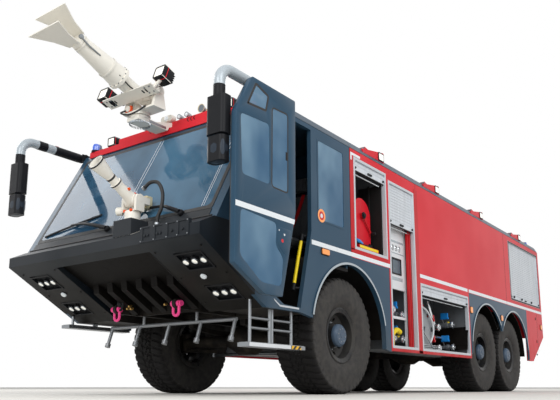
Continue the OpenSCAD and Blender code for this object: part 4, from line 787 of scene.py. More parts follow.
class TRUCK_OT_tyres(Piece):
    """Six tyres with cut tread blocks, shoulder lugs and ringed side walls"""
    bl_idname = "truck.tyres"
    bl_label = "Tyres"

    def build(self, s):
        # Half section of the tyre as (radius, width), bead to crown, resampled evenly by length
        half = np.array([[.2903, .15], [.2903, .207], [.334, .221], [.352, .24], [.377, .255], [.41, .268],
            [.445, .274], [.49, .276], [.545, .272], [.603, .262], [.632, .264], [.647, .266], [.664, .257],
            [.674, .246], [.681, .23], [.6845, .205], [.685, .15], [.685, .08], [.685, 0]])
        full = np.vstack([half, (half * [1, -1])[-2::-1]])
        run = np.concatenate([[0], np.cumsum(np.linalg.norm(np.diff(full, axis=0), axis=1))])
        t = np.linspace(0, run[-1], TYRE_ACROSS)
        r, w = np.interp(t, run, full[:, 0]), np.interp(t, run, full[:, 1])
        a = angles(TYRE_ROUND)[:, None]
        blocks = s.tread_blocks
        # Groove depth: two zigzag grooves round the tyre and slanted cuts between its blocks
        side = np.sign(w) + (w == 0)
        phase = a * blocks / (2 * np.pi) + side[None] * np.abs(w)[None] * 2.6
        zig = .014 * (2 * np.abs((a * blocks / np.pi) % 2 - 1) - 1)
        ring = np.maximum(np.abs(np.abs(w[None] - zig) - .075) < .01, np.abs(w[None] - zig * .6) < .006)
        cut = (np.abs((phase + .25 * (np.abs(w)[None] < .075)) % 1 - .5) < .17) & (np.abs(w)[None] > .012)
        crown = (r[None] > .665) & (np.abs(w)[None] < .262)
        depth = s.tread_depth * np.where(crown & (ring | cut), 1.0, 0.0)
        lug = (r > .615) & (r <= .665)
        depth = depth + .007 * (lug[None] & (np.abs(phase % 1 - .5) < .2))
        rings = .003 * np.exp(-((r - .4) / .006) ** 2) + .003 * np.exp(-((r - .565) / .006) ** 2)
        rr = r[None] - depth * np.where(crown, 1, .2)
        ww = w[None] - depth * np.where(crown, 0, np.sign(w)[None]) - rings[None] * np.sign(w)[None]
        for axle, x in AXLES:
            for side_name, sy in SIDES:
                p = np.stack([x + rr * np.cos(a), sy * WHEEL_Y + ww + 0 * a, AXLE_Z + rr * np.sin(a)], -1)
                shape = Shape().grid(p, wrap_u=True)
                # The inner band closes the section under the beads
                inner = np.stack([p[:, -1], p[:, 0]], 1)
                shape.grid(inner, wrap_u=True)
                tyre = shape.make(f"tyre_{axle}_{side_name}_tread", "tyre", f"wheel_{axle}_{side_name}",
                    smooth=32, replaces=[f"tyre_{axle}_{side_name}"])
                co = np.empty(len(tyre.data.vertices) * 3)
                tyre.data.vertices.foreach_get("co", co)
                co = co.reshape(-1, 3)
                rad = np.hypot(co[:, 0] - x, co[:, 2] - AXLE_Z)
                wall = np.clip((.662 - rad) / .02, 0, 1)
                tyre.data.attributes.new("wall", "FLOAT", "POINT").data.foreach_set("value", wall)


class TRUCK_OT_wheel_centres(Piece):
    """Nuts, hub cover and hub studs of each wheel"""
    bl_idname = "truck.wheel_centres"
    bl_label = "Wheel centres"

    def build(self, s):
        for axle, x in AXLES:
            for side_name, sy in SIDES:
                c = np.array([x, sy * WHEEL_Y, AXLE_Z])
                body = f"wheel_{axle}_{side_name}"
                out = np.array([0, sy, 0])
                nuts = Shape()
                for a in np.arange(10) * 2 * np.pi / 10 + .3:
                    at = c + .157 * np.array([np.cos(a), 0, np.sin(a)]) + out * .058
                    nuts.turned([[0, -.004], [.021, -.004], [.021, .006], [.0165, .006], [.0165, .026],
                        [.012, .03], [.009, .031], [.009, .044], [0, .044]], at, out, 6)
                nuts.make(f"nuts_{axle}_{side_name}", "steel", body, bevel=.001)
                cap = Shape().turned([[0, .226], [.098, .226], [.104, .222], [.125, .215], [.1265, .205],
                    [.13, .198], [.1355, .19], [.1355, .176], [.1365, .176], [.1365, .19], [.134, .206],
                    [.128, .2165], [.104, .2375], [.03, .2385], [.028, .243], [0, .244]], c, out, 48)
                cap.make(f"hub_cover_{axle}_{side_name}", "hub", body, smooth=30)
                studs = Shape()
                for a in np.arange(8) * np.pi / 4 + .2:
                    studs.turned([[0, .236], [.008, .236], [.008, .242], [0, .243]],
                        c + .078 * np.array([np.cos(a), 0, np.sin(a)]), out, 8)
                studs.make(f"hub_studs_{axle}_{side_name}", "steel", body)


# ---- doors

# Door windows ahead of the front axle, X and Z, with the radius of their corners
DOOR_PANES = (
    ("front", [[1.622, 2.563], [1.19, 2.59], [1.18, 1.984], [1.591, 1.987]], .045),
    ("sliding", [[1.148, 2.787], [.872, 2.801], [.874, 1.96], [1.152, 1.966]], .05),
    ("quarter", [[1.405, 2.945], [1.539, 2.68], [1.232, 2.7], [1.19, 2.88]], .03),
    ("foot", [[1.607, 1.66], [1.066, 1.628], [1.082, 1.41], [.959, 1.304], [.992, 1.023], [1.295, 1.027],
              [1.613, 1.237]], .055),
)
DOOR_EDGE = [[.75, 2.985], [.75, 1.8], [.972, .925], [1.25, .925], [1.685, 1.155], [1.685, 2.574],
    [1.457, 2.985]]
DOOR_THICK = .06
DOOR_BACK = SIDE - DOOR_THICK


def inset(outline, d):
    """A polygon moved inwards by d, each corner along its mitre."""
    p = np.asarray(outline, float)
    q = np.roll(p, -1, 0)
    turn = np.sign(np.sum(p[:, 0] * q[:, 1] - p[:, 1] * q[:, 0]))
    e = unit(q - p)
    n = np.stack([-e[:, 1], e[:, 0]], -1) * turn
    m = np.roll(n, 1, 0)
    return p + d * (n + m) / (1 + np.sum(n * m, 1, keepdims=True))


def ring(outer, inner, y0, y1):
    """A flat frame between two outlines in X and Z with as many points each, from y0 to y1."""
    loops = [side_points(outer, y0), side_points(outer, y1), side_points(inner, y1), side_points(inner, y0)]
    return Shape().grid(np.stack(loops), wrap_u=True, wrap_v=True)


def frame_strip(x0, z0, x1, z1, w, y0, y1):
    """A mitred frame of width w inside a rectangle."""
    o = np.array([[x0, z0], [x1, z0], [x1, z1], [x0, z1]], float)
    return ring(o, inset(o, w), y0, y1)


def pierced(name, outlines, y0, y1, round_by=.003):
    """A plate in X and Z from y0 to y1: the first outline is its edge, the others are holes."""
    curve = bpy.data.curves.new(name, "CURVE")
    curve.dimensions, curve.fill_mode = "2D", "BOTH"
    curve.extrude, curve.bevel_depth, curve.bevel_resolution, curve.offset = (y1
        - y0) / 2 - round_by, round_by, 1, -round_by
    for o in outlines:
        sp = curve.splines.new("POLY")
        sp.points.add(len(o) - 1)
        flat = np.column_stack([o, np.zeros(len(o)), np.ones(len(o))])
        sp.points.foreach_set("co", flat.ravel())
        sp.use_cyclic_u = True
    obj = bpy.data.objects.new(name, curve)
    bpy.context.scene.collection.objects.link(obj)
    mesh = bpy.data.meshes.new_from_object(obj.evaluated_get(bpy.context.evaluated_depsgraph_get()))
    co = np.empty(len(mesh.vertices) * 3)
    mesh.vertices.foreach_get("co", co)
    co = co.reshape(-1, 3)
    faces = [tuple(p.vertices) for p in mesh.polygons]
    bpy.data.objects.remove(obj)
    bpy.data.curves.remove(curve)
    bpy.data.meshes.remove(mesh)
    return Shape().add(np.stack([co[:, 0], (y0 + y1) / 2 + co[:, 2], co[:, 1]], -1), faces)


class TRUCK_OT_doors(Piece):
    """Both cab doors: shells with rounded windows, panes, seals, stripe, lock and inner handles"""
    bl_idname = "truck.doors"
    bl_label = "Cab doors"

    def build(self, s):
        for side, sy in SIDES:
            shift = DOOR_SHIFT if side == "left" else np.zeros(3)
            put = placer(side, sy, f"leaf_{side}", shift)
            face = SIDE - .002
            panes = [eased(from_front(o), r, 6) for _, o, r in DOOR_PANES]
            shell = pierced("door_shell", [eased(from_front(DOOR_EDGE), .018, 4), *panes],
                DOOR_BACK, face, .004)
            lows, highs = [], []
            x = self.hinge_x()
            for z in (1.78, 2.62):
                lows.append([x - .022, DOOR_BACK - .047, z + .017])
                highs.append([x + .022, DOOR_BACK + .001, z + .045])
            shell.boxes(lows, highs)
            put(shell, "door_shell", "blue", replaces=[f"door_{side}"], smooth=30)
            glass = Shape()
            for pane in panes:
                glass.slab(inset(pane, -.006), [0, SIDE - .01, 0], *SIDE_ON, [0, .005, 0])
            put(glass, "door_panes", "glass", replaces=[f"door_glass_{side}"])
            seals = Shape()
            for (name, *_), pane in zip(DOOR_PANES, panes):
                w = {"quarter": .024, "sliding": .015}.get(name, 0)
                if not w:
                    continue
                seal = ring(inset(pane, -.001), inset(pane, w), SIDE - .0052, SIDE - .0035)
                seals.join(seal)
            put(seals, "door_seals", "rubber")
            # Slider: a meeting rail and a catch on the sliding pane
            rail = Shape().boxes([[FRONT_X + .884, SIDE - .023, 1.975]],
                [[FRONT_X + .902, SIDE - .01, 2.785]])
            rail.boxes([[FRONT_X + .886, SIDE - .012, 2.3]], [[FRONT_X + .918, SIDE - .004, 2.39]])
            put(rail, "door_slider", "plastic", bevel=.003)
            # The leaf's rear edge leans forward by 222 in 875 below its knee at 1.8 m
            slope = (1.8 - 1.696) * 222 / 875
            band = np.array([[FRONT_X + .753 + slope, 1.67], [FRONT_X + 1.681, 1.67],
                [FRONT_X + 1.681, 1.722], [FRONT_X + .753 + slope - .013, 1.722]])
            put(Shape().slab(band, [0, face - .0005, 0], *SIDE_ON, [0, .0018, 0]), "door_stripe", "tape")
            # Handle plate with its lock and press button
            plate = eased(from_front([[1.047, 1.6], [.826, 1.6], [.868, 1.395], [.935, 1.335],
                [1.055, 1.43]]), .03, 5)
            handle = pierced("handle_plate", [plate], face - .001, face + .0015, .0005)
            put(handle, "door_handle_plate", "blue")
            put(Shape().turned([[0, 0], [.02, 0], [.02, .0012], [.017, .0018], [0, .0018]],
                [FRONT_X + .976, face, 1.47], LEFT, 24), "door_button", "handle_red")
            lock = Shape().turned([[0, 0], [.013, 0], [.012, .0018], [0, .0018]],
                [FRONT_X + .943, face, 1.535], LEFT, 20)
            lock.turned([[0, 0], [.009, 0], [.008, .0018], [0, .0018]],
                [FRONT_X + 1.03, face, 1.566], LEFT, 20)
            put(lock, "door_locks", "chrome")
            # Inside: lining, pull handle and door seal
            edge = eased(from_front(DOOR_EDGE), .018, 4)
            put(ring(inset(edge, .004), inset(edge, .026), DOOR_BACK - .01, DOOR_BACK + .002),
                "door_edge_seal", "rubber")
            grip = Shape()
            for p in ([[1.16, 2.6], [1.16, 2.02]], [[.9, 1.66], [1.08, 1.8]]):
                p = from_front(p)
                ends = side_points(p, DOOR_BACK)
                inner = side_points(p, DOOR_BACK - .045)
                grip.tube(smooth_path([ends[0], (ends[0] + inner[0]) / 2, inner[0] * .92 + inner[1] * .08,
                    inner[1] * .92 + inner[0] * .08, (ends[1] + inner[1]) / 2, ends[1]], 24), .011, 10)
            put(grip, "door_grips", "plastic")
            # Wide-angle mirror on its bracket at the top rear corner, inside the opened leaf's outline
            head = Shape().turned([[0, 0], [.085, 0], [.1, .01], [.104, .03], [.098, .038]],
                [FRONT_X + 1.02, DOOR_BACK - .11, 2.89], (.35, -.55, -.75), 28)
            head.tube(from_front([[1.03, DOOR_BACK, 2.94], [1.025, DOOR_BACK - .06, 2.93],
                [1.02, DOOR_BACK - .11, 2.895]]), .01, 8)
            if side == "left":
                put(head, "wide_mirror_shell", "plastic")
                put(Shape().turned([[0, .0395], [.095, .036], [.095, .041], [0, .0455]],
                    [FRONT_X + 1.02, DOOR_BACK - .11, 2.89], (.35, -.55, -.75), 28),
                    "wide_mirror_glass", "mirror")

    @staticmethod
    def hinge_x():
        """Hinge line of a leaf as it stands closed, from the hinge column and the leaf's travel."""
        column = np.array([FRONT_X + 1.64, SIDE - .16])
        y = DOOR_BACK - .025
        dx, dy = DOOR_SHIFT[:2]
        return column[0] - dx / 2 + (column[1] - y - dy / 2) * dy / dx


# ---- windscreen

class TRUCK_OT_windscreen(Piece):
    """Windscreen edge, painted reflection lines, gasket, wipers, dark foot panel and the windows behind the
    doors
    """
    bl_idname = "truck.windscreen"
    bl_label = "Windscreen"

    def build(self, s):
        # One bonded screen over the frame: dark edge band, then the glass
        top = SCREEN_LONG - .055
        edge = np.array([[-1.395, .035], [1.395, .035], [1.395, top], [-1.395, top]])
        inner = inset(edge, .045)

        def on(o, w):
            return on_screen(o[:, 0], o[:, 1], w)

        rim, hole = eased(edge, .03, 5), eased(inner, .05, 5)
        loops = np.stack([on(rim, .001), on(rim, .005), on(hole, .005), on(hole, .001)])
        Shape().grid(loops, wrap_u=True, wrap_v=True).make("screen_edge", "rubber")
        Shape().plates(on(hole, .002), on(hole, .0045)).make("screen_pane", "screen")
        # Thin white strips up the glass in two pairs: a painted reflection
        lines = Shape()
        for u in (0.0, .045, 1.235, 1.262):
            o = np.array([[u - .0025, .09], [u + .0025, .09], [u + .0025, top - .05], [u - .0025, top - .05]])
            lines.slab(o, on_screen(0, 0, .0046), LEFT, SCREEN_UP, SCREEN_OUT * .001)
        lines.make("screen_reflection_lines", "white")
        foot = Shape()
        o = eased([[-1.4, -.055], [1.4, -.055], [1.4, .03], [-1.4, .03]], .01, 3)
        foot.slab(o, on_screen(0, 0, .0005), LEFT, SCREEN_UP, SCREEN_OUT * .006)
        foot.make("screen_foot_panel", "nose", bevel=.002)
        Shape().tube([on_screen(-1.44, -.068, .006), on_screen(0, -.068, .006), on_screen(1.44, -.068, .006)],
            .01, 10).make("screen_gasket", "rubber")
        # Wipers: pivot cap, tapered arm, and a blade that lies on the glass
        for name, pivot, elbow, low, high in (("far", (-.1, .03), (-.56, .155), (-1.28, .12), (-.36, .285)),
                ("near", (.996, .035), (.7, .15), (.28, .085), (.42, .32))):
            arm = Shape().turned([[0, 0], [.034, 0], [.034, .03], [.026, .04], [0, .042]],
                on_screen(*pivot, .004), SCREEN_OUT, 20)
            mid = (np.array(low) + high) / 2
            run = [on_screen(*pivot, .04), on_screen(*(np.array(pivot) * .5 + np.array(elbow) * .5), .062),
                on_screen(*elbow, .058), on_screen(*mid, .034)]
            arm.tube(smooth_path(run, 24), np.linspace(.024, .013, 24), 8)
            arm.make(f"wiper_arm_{name}", "plastic")
            blade = Shape()
            path = smooth_path([on_screen(*low, .014), on_screen(*(np.array(low) * .5 + mid * .5), .019),
                on_screen(*mid, .021), on_screen(*(np.array(high) * .5 + mid * .5), .019),
                on_screen(*high, .014)], 22)
            blade.tube(path, .013, 6)
            blade.tube(path - SCREEN_OUT * .008, .004, 6)
            for t in (.12, .38, .62, .88):
                c = path[int(t * 21)]
                blade.tube([c + [0, -.02, .004], c + [0, 0, .01], c + [0, .02, .004]], .006, 6)
            blade.make(f"wiper_blade_{name}", "rubber")
        # Side window behind each door: bonded pane with a dark rim
        for side, sy in SIDES:
            put = placer(side, sy)
            o = from_front([[.01, 1.95], [.61, 1.95], [.61, 2.94], [.01, 2.94]])
            rim, hole = eased(o, .03, 5), eased(inset(o, .022), .035, 5)
            put(ring(rim, hole, SIDE + .0005, SIDE + .003), "side_window_rim", "blue")
            put(Shape().slab(hole, [0, SIDE - .006, 0], *SIDE_ON, [0, .005, 0]), "side_window", "glass")


# ---- nose

LAMP_ROWS = ((2.255, .034), (1.815, .036))
LAMP_YS = (1.055, 1.17, 1.285)


def chin_run(x):
    """Length up the chin of a point x ahead of the front axle."""
    return (FRONT_X + x - CHIN_FOOT[0]) / CHIN_DIR[0]


class TRUCK_OT_nose(Piece):
    """Lamps, pockets, seams and small fittings of the nose"""
    bl_idname = "truck.nose"
    bl_label = "Nose"

    def build(self, s):
        down = np.array([CHIN_DIR[1], 0, -CHIN_DIR[0]])
        for side, sy in SIDES:
            put = placer(side, sy)
            cups, glass, trays, bezels = Shape(), Shape(), Shape(), Shape()
            for x, r in LAMP_ROWS:
                run = chin_run(x)
                for y in LAMP_YS:
                    c = on_chin(run, y, -.004)
                    cups.turned([[0, -.01], [r * .35, -.008], [r * .8, .002], [r * .9, .006],
                        [r * .9, .0085]], c, down, 32)
                    glass.turned([[0, .0115], [r * .5, .0105], [r * .88, .0055], [r * .88, .003],
                        [0, .003]], c, down, 32)
                    bezels.turned([[r * .9, -.004], [r * 1.08, -.004], [r * 1.08, .006], [r, .012],
                        [r * .9, .007]], c, down, 36)
                o = eased([[run - .13, LAMP_YS[0] - .06], [run + .13, LAMP_YS[0] - .06],
                    [run + .13, LAMP_YS[2] + .06], [run - .13, LAMP_YS[2] + .06]], .02, 4)
                top = np.stack([on_chin(o[:, 0], o[:, 1], w) for w in (-.001, .003)])
                low = np.stack([on_chin(*(inset(o, .018).T), w) for w in (.003, -.001)])
                trays.grid(np.concatenate([top, low]), wrap_u=True, wrap_v=True)
            put(cups, "lamp_reflectors", "chrome")
            put(glass, "lamp_lenses", "lamp")
            put(bezels, "lamp_bezels", "steel")
            put(trays, "lamp_pocket_rims", "plastic")
            small = Shape()
            c = on_chin(chin_run(2.06), 1.11, .0)
            small.turned([[0, 0], [.034, 0], [.034, .012], [.026, .02], [0, .021]], c, down, 24)
            put(small, "marker_lamp", "lens")
            bolts = Shape()
            for x, y in ((1.7, .8), (1.7, 1.4), (2.42, .8), (2.42, 1.4), (2.06, 1.4), (2.06, .8)):
                bolts.turned([[0, -.001], [.011, -.001], [.01, .005], [0, .006]],
                    on_chin(chin_run(x), y, 0), down, 10)
            put(bolts, "chin_bolts", "chassis")
            knob = Shape()
            for x, z in ((1.765, 1.5), (1.765, 1.28)):
                knob.turned([[0, 0], [.022, 0], [.02, .012], [0, .014]], [FRONT_X + x, SIDE, z], LEFT, 16)
            put(knob, "corner_buffers", "rubber")
        # Seams of the nose: dark lines at the recess and across the face
        lines = Shape()
        for y in (-.74, .74):
            lines.tube(on_chin(np.array([chin_run(1.6), chin_run(2.4)]), y, .0005), .0025, 6)
        lines.make("nose_seams", "rubber")
        # Coupling ring and hoses under the recess
        t = angles(36)
        ring_c = np.array([FRONT_X + 1.8, -.41, 1.005])
        loop = ring_c + .062 * np.stack([.25 * np.cos(t), np.cos(t), np.sin(t)], -1)
        coupling = Shape().tube(loop, .014, 10, closed=True)
        coupling.turned([[0, -.03], [.03, -.03], [.034, .0], [.03, .022], [.018, .03], [0, .03]], ring_c,
            (1, 0, -.2), 20)
        coupling.make("coupling_ring", "plastic")
        fittings = Shape()
        for y, z in ((-.3, .955), (-.27, .98), (-.24, .95), (.3, .96)):
            fittings.turned([[0, -.02], [.012, -.02], [.016, 0], [.012, .02], [0, .024]],
                [FRONT_X + 1.78, y, z], (1, 0, -.3), 12)
        fittings.make("coupling_fittings", "brass")
        # Fastened panel on the left of the face
        dots = Shape()
        for y in (.735, .915, 1.085, 1.225, 1.355):
            for z in (1.456, 1.584):
                dots.turned([[0, 0], [.007, 0], [.006, .003], [0, .0035]], [NOSE_X - .0045, y, z], AHEAD, 8)
        dots.make("panel_screws", "steel")


# ---- roof edge

class TRUCK_OT_roof_lamps(Piece):
    """Beacons, work lamps, side lamps, chevrons and horn on the roof edge"""
    bl_idname = "truck.roof_lamps"
    bl_label = "Roof lamps"

    def build(self, s):
        strip_x = FRONT_X + 1.479
        domes, feet = Shape(), Shape()
        for sy in (1, -1):
            at = np.array([FRONT_X + 1.573, sy * 1.29, 3.0755])
            feet.turned([[0, 0], [.0635, 0], [.0635, .02], [.058, .024], [0, .024]], at, UP, 32)
            domes.turned([[.058, .022], [.0575, .07], [.051, .098], [.036, .112], [0, .1145]], at, UP, 32)
            at = np.array([TAIL_X + .45, sy * 1.35, 3.1205])
            feet.turned([[0, 0], [.0735, 0], [.0735, .022], [.068, .026], [0, .026]], at, UP, 32)
            domes.turned([[.068, .024], [.067, .07], [.06, .092], [.04, .103], [0, .1065]], at, UP, 32)
        feet.make("beacon_feet", "plastic")
        domes.make("beacon_domes", "beacon")
        # Work lamps at the strip's ends: finned housings with a red line round a pale face
        cases, lines, faces = Shape(), Shape(), Shape()
        for sy in (1, -1):
            c = np.array([strip_x + .066, sy * .98, 3.0755])
            cases.tube([c, c + [0, 0, .03]], .0155, 12)
            o = rounded(.132, .114, .016, 4)
            for x0, x1, g in ((-.046, .0385, 0), (-.064, -.044, -.006)):
                cases.slab(inset(o, -g), c + [x0, 0, .08], *END_ON, [x1 - x0, 0, 0])
            loop = inset(o, .003)
            centre = c + [0, 0, .08]
            lines.band(end_points(loop, .03) + centre, [[-.002, -.003], [.0045, -.003], [.0045, .003],
                [-.002, .003]], AHEAD)
            face = end_points(inset(o, .014), .0405) + centre
            faces.plates(face, face + [.003, 0, 0])
            cases.band(end_points(inset(o, .007), .04) + centre, [[-.007, -.002], [.007, -.002], [.007, .006],
                [-.007, .006]], AHEAD)
        cases.make("work_lamp_cases", "plastic")
        lines.make("work_lamp_lines", "red")
        faces.make("work_lamp_faces", "lamp")
        # Side lamps: red wedges on the roof's edge, low in front, each with a framed lamp in its outer face
        wings, frames, faces = Shape(), Shape(), Shape()
        for x in SIDE_LAMP_XS:
            for sy in (1, -1):
                wings.slab([[.23, 3.122], [.23, 3.172], [-.345, 3.272], [-.365, 3.262], [-.365, 3.122]],
                    [FRONT_X - x, sy * 1.395, 0], *SIDE_ON, [0, sy * .067, 0])
                for shape, w, h, r, y, t in ((frames, .156, .122, .014, 1.4615, .009),
                        (faces, .122, .088, .01, 1.47, .003)):
                    shape.slab(rounded(w, h, r, 3), [FRONT_X - x - .27, sy * y, 3.19], *SIDE_ON,
                        [0, sy * t, 0])
        wings.make("side_lamp_wedges", "red", bevel=.004)
        frames.make("side_lamp_frames", "plastic", bevel=.002)
        faces.make("side_lamp_faces", "lamp", bevel=.001)
        wedges = Shape()
        for x in SIDE_LAMP_XS:
            for sy in (1, -1):
                o = [[-.332, 3.1195], [-.301, 3.1615], [.1115, 3.2365], [.128, 3.1195]]
                for y in (1.2985, 1.4245):
                    wedges.slab(o, [FRONT_X - x, sy * y, 0], *SIDE_ON, [0, sy * .002, 0])
                wedges.slab([[-.301, 3.1615], [.1115, 3.2365], [.1115, 3.2385], [-.301, 3.1635]],
                    [FRONT_X - x, sy * 1.2985, 0], *SIDE_ON, [0, sy * .128, 0])
        wedges.make("side_lamp_shells", "red")
        # Small lamps on the strip and the horn
        cups, lens = Shape(), Shape()
        for y in (-.4, -.3, .185, .305):
            c = np.array([strip_x + .04, y, 3.212])
            cups.turned([[0, -.04], [.018, -.038], [.0235, -.03], [.0315, .034], [.0315, .037],
                [.0275, .037]], c, AHEAD, 24)
            lens.turned([[.0275, .033], [.02, .037], [0, .04]], c, AHEAD, 24)
        cups.make("strip_lamp_cups", "arm_grey")
        lens.make("strip_lamp_lenses", "lens")
        horn = Shape().turned([[0, -.065], [.023, -.065], [.024, -.004], [.028, .02], [.038, .045],
            [.052, .063], [.052, .066], [.046, .064], [.024, .01], [0, .008]],
            [strip_x + .012, .54, 3.2245], AHEAD, 32)
        horn.make("horn", "leaf")
        # Central lamp in its pale housing
        Shape().slab(rounded(.19, .075, .03, 5), [strip_x + .045, .02, 3.212], *END_ON,
            [.075, 0, 0]).make("centre_lamp_case", "cream", bevel=.008)
        Shape().turned([[0, .012], [.022, .009], [.032, .002], [.032, -.004]], [strip_x + .12, .02, 3.212],
            AHEAD, 28).make("centre_lamp_lens", "lens")
        # Chevrons painted on the strip's raised front
        marks = Shape()
        for y in (-.23, .4):
            for step in (0, .05, .1):
                o = np.array([[0, .027], [.012, .027], [.036, 0], [.012, -.027], [0, -.027], [.024, 0]])
                marks.slab(o + [step - .07, 0], [strip_x + .0921, y, 3.128], [0, -1, 0],
                    [0, 0, 1], [.0012, 0, 0])
        marks.make("strip_chevrons", "plastic")
        # Red mark across the roof edge
        flash = Shape()
        for sy in (1, -1):
            flash.slab([[-.135, 3.052], [-.095, 3.052], [-.015, 3.105], [-.055, 3.105]],
                [FRONT_X - .02, sy * 1.4275, 0], *SIDE_ON, [0, sy * .0035, 0])
        flash.make("roof_edge_marks", "red")
        # Raised edge along the roof, in Y and Z: up the chamfer, over its top and back to the roof
        coaming = Shape()
        for sy in (1, -1):
            for x0, x1 in ((TAIL_X + .004, FRONT_X - .172), (FRONT_X - .166, FRONT_X + 1.33)):
                edge = np.array([[1.4985, 3.0565], [1.436, 3.165], [1.418, 3.165], [1.418, 3.118],
                    [1.432, 3.118]]) * [sy, 1]
                coaming.slab(edge, [x0, 0, 0], *END_ON, [x1 - x0, 0, 0])
        coaming.make("roof_coaming", "roof_blue", bevel=.003)
        # Drip rails along the roof
        rails = Shape()
        for sy in (1, -1):
            rails.tube([[TAIL_X + .01, sy * 1.492, 3.046], [FRONT_X - .6, sy * 1.492, 3.046],
                [FRONT_X + 1.45, sy * 1.492, 3.046]], .006, 8)
        rails.make("drip_rails", "roof_blue")


# ---- monitors

ROOF_MONITOR = np.array([FRONT_X + 1.98, 0.0, 3.34])
BUMPER_MONITOR = np.array([FRONT_X + 2.42, .45, 1.94])


def tilted(degrees):
    """Axes along, across and above a barrel raised by an angle."""
    a = radians(degrees)
    return np.array([[cos(a), 0, sin(a)], [0, 1, 0], [-sin(a), 0, cos(a)]])


class TRUCK_OT_roof_monitor(Piece):
    """Lamps, hoses, bands and bolts of the roof monitor"""
    bl_idname = "truck.roof_monitor"
    bl_label = "Roof monitor"

    def build(self, s):
        ax = tilted(19.2)
        u, v, w = ax

        def at(p):
            return np.asarray(p, float) @ ax + ROOF_MONITOR

        cases, lines, faces = Shape(), Shape(), Shape()
        for sy in (1, -1):
            c = np.array([0.0, sy * .47, .055])
            o = rounded(.158, .158, .022, 4)
            for a, b, g in ((.056, .186, 0.0), (.044, .058, .018)):
                cases.prism(at(end_points(inset(o, g), a) + c), u * (b - a))
            cases.band(at(end_points(inset(o, .008), .188) + c), [[-.008, -.003], [.008, -.003], [.008, .014],
                [-.008, .014]], u)
            for z in (-.05, -.02, .01, .04):
                cases.slab([[-.07, 0], [.07, 0], [.07, .006], [-.07, .006]], at([.03, c[1], c[2] + z]),
                    v, w, u * .016)
            lines.band(at(end_points(inset(o, -.0005), .15) + c), [[-.002, -.004], [.002, -.004],
                [.002, .004], [-.002, .004]], u)
            face = at(end_points(inset(o, .016), .193) + c)
            faces.plates(face, face + u * .003)
        cases.make("monitor_lamp_cases", "plastic", "roof_gun_lift", smooth=30)
        lines.make("monitor_lamp_lines", "red", "roof_gun_lift")
        faces.make("monitor_lamp_faces", "lamp", "roof_gun_lift")
        # Clamp bands, bolts, slots in the plate, and hinges with the sensor behind the nozzle
        bands = Shape()
        for run, r in ((.1, .0895), (.3, .0895), (.52, .1225), (.9, .0925)):
            bands.turned([[r - .003, -.012], [r + .0015, -.012], [r + .0025, -.006], [r + .0025, .006],
                [r + .0015, .012], [r - .003, .012]], at([run, 0, 0]), u, 48)
        bands.make("monitor_bands", "cream", "roof_gun_lift")
        bolts = Shape()
        for a in np.arange(12) * np.pi / 6:
            bolts.turned([[0, -.001], [.01, -.001], [.01, .007], [0, .009]],
                at([.364, .128 * cos(a), .128 * sin(a)]), u, 6)
        for y in (-.35, -.28, .28, .35):
            for run in (.1, .18):
                bolts.turned([[0, -.001], [.011, -.001], [.01, .006], [0, .007]], at([run, y, -.0985]), -w, 8)
        bolts.make("monitor_bolts", "steel", "roof_gun_lift")
        slots = Shape()
        for y in (-.315, -.24, .22, .27):
            slots.slab(rounded(.05, .022, .0105, 5), at([.14, y, -.0988]), u, v, -w * .0008)
        slots.slab(rounded(.1, .06, .012, 4), at([.135, -.29, -.099]), u, v, -w * .0006)
        slots.make("monitor_plate_slots", "plastic", "roof_gun_lift")
        hinge = Shape()
        for sy in (1, -1):
            hinge.turned([[0, -.012], [.026, -.012], [.026, .012], [0, .012]],
                at([.968, sy * .088, .0]), v, 20)
            hinge.tube(np.array([at([.7, sy * .098, -.025]), at([.86, sy * .1, -.03]),
                at([.968, sy * .098, -.01])]), .009, 8)
        hinge.turned([[0, -.006], [.03, -.006], [.024, .02], [0, .022]], at([.93, 0, .093]), w, 16)
        hinge.make("nozzle_hinges", "steel", "roof_gun_lift")
        # Power leads along the barrel's side and in a loop at the hub
        lead = Shape().tube(smooth_path([at([.058, .395, .03]), at([.04, .3, -.02]), at([.05, .2, -.075]),
            at([.2, .09, -.06]), at([.42, .108, -.055])], 40), .0075, 8)
        lead.tube(smooth_path([at([.058, -.395, .03]), at([.04, -.3, -.03]), at([.05, -.2, -.075]),
            at([.2, -.09, -.06])], 40), .0075, 8)
        lead.make("monitor_leads", "rubber", "roof_gun_lift")
        # Turning head: gear housing, geared motor, red cap and the hose loop
        head = ROOF_MONITOR - [0, 0, .34]
        drive = Shape().turned([[0, 0], [.052, 0], [.056, .006], [.056, .12], [.05, .128], [0, .13]],
            head + [-.045, -.108, .16], UP, 28)
        drive.turned([[0, 0], [.036, 0], [.036, .075], [.03, .084], [0, .085]],
            head + [.02, -.108, .2], AHEAD, 24)
        drive.make("monitor_drive", "cream", "roof_gun_turn")
        Shape().slab(rounded(.1, .07, .01, 4), head + [.066, -.105, .198], *END_ON,
            [.026, 0, 0]).make("monitor_drive_cap", "orange", "roof_gun_turn", bevel=.004)
        teeth = Shape()
        for a in np.arange(40) * 2 * np.pi / 40:
            teeth.turned([[0, .006], [.005, .006], [.005, .03], [0, .03]],
                head + .118 * np.array([cos(a), sin(a), 0]), UP, 6)
        teeth.make("monitor_ring_bolts", "steel", "roof_gun_turn")
        loop = Shape().tube(smooth_path([head + [.05, -.15, .215], head + [.17, -.135, .13],
            head + [.16, -.02, .085], head + [.13, .1, .11], head + [.095, .19, .165]], 48), .01, 8)
        loop.make("monitor_hose", "rubber", "roof_gun_turn")
        # Cover plates on the base arm
        arm = Shape()
        for sy in (1, -1):
            arm.slab(rounded(.26, .03, .006, 3), [FRONT_X + 1.8, sy * .0952, 3.053], *SIDE_ON,
                [0, sy * .004, 0])
        arm.make("monitor_arm_ribs", "steel", bevel=.001)


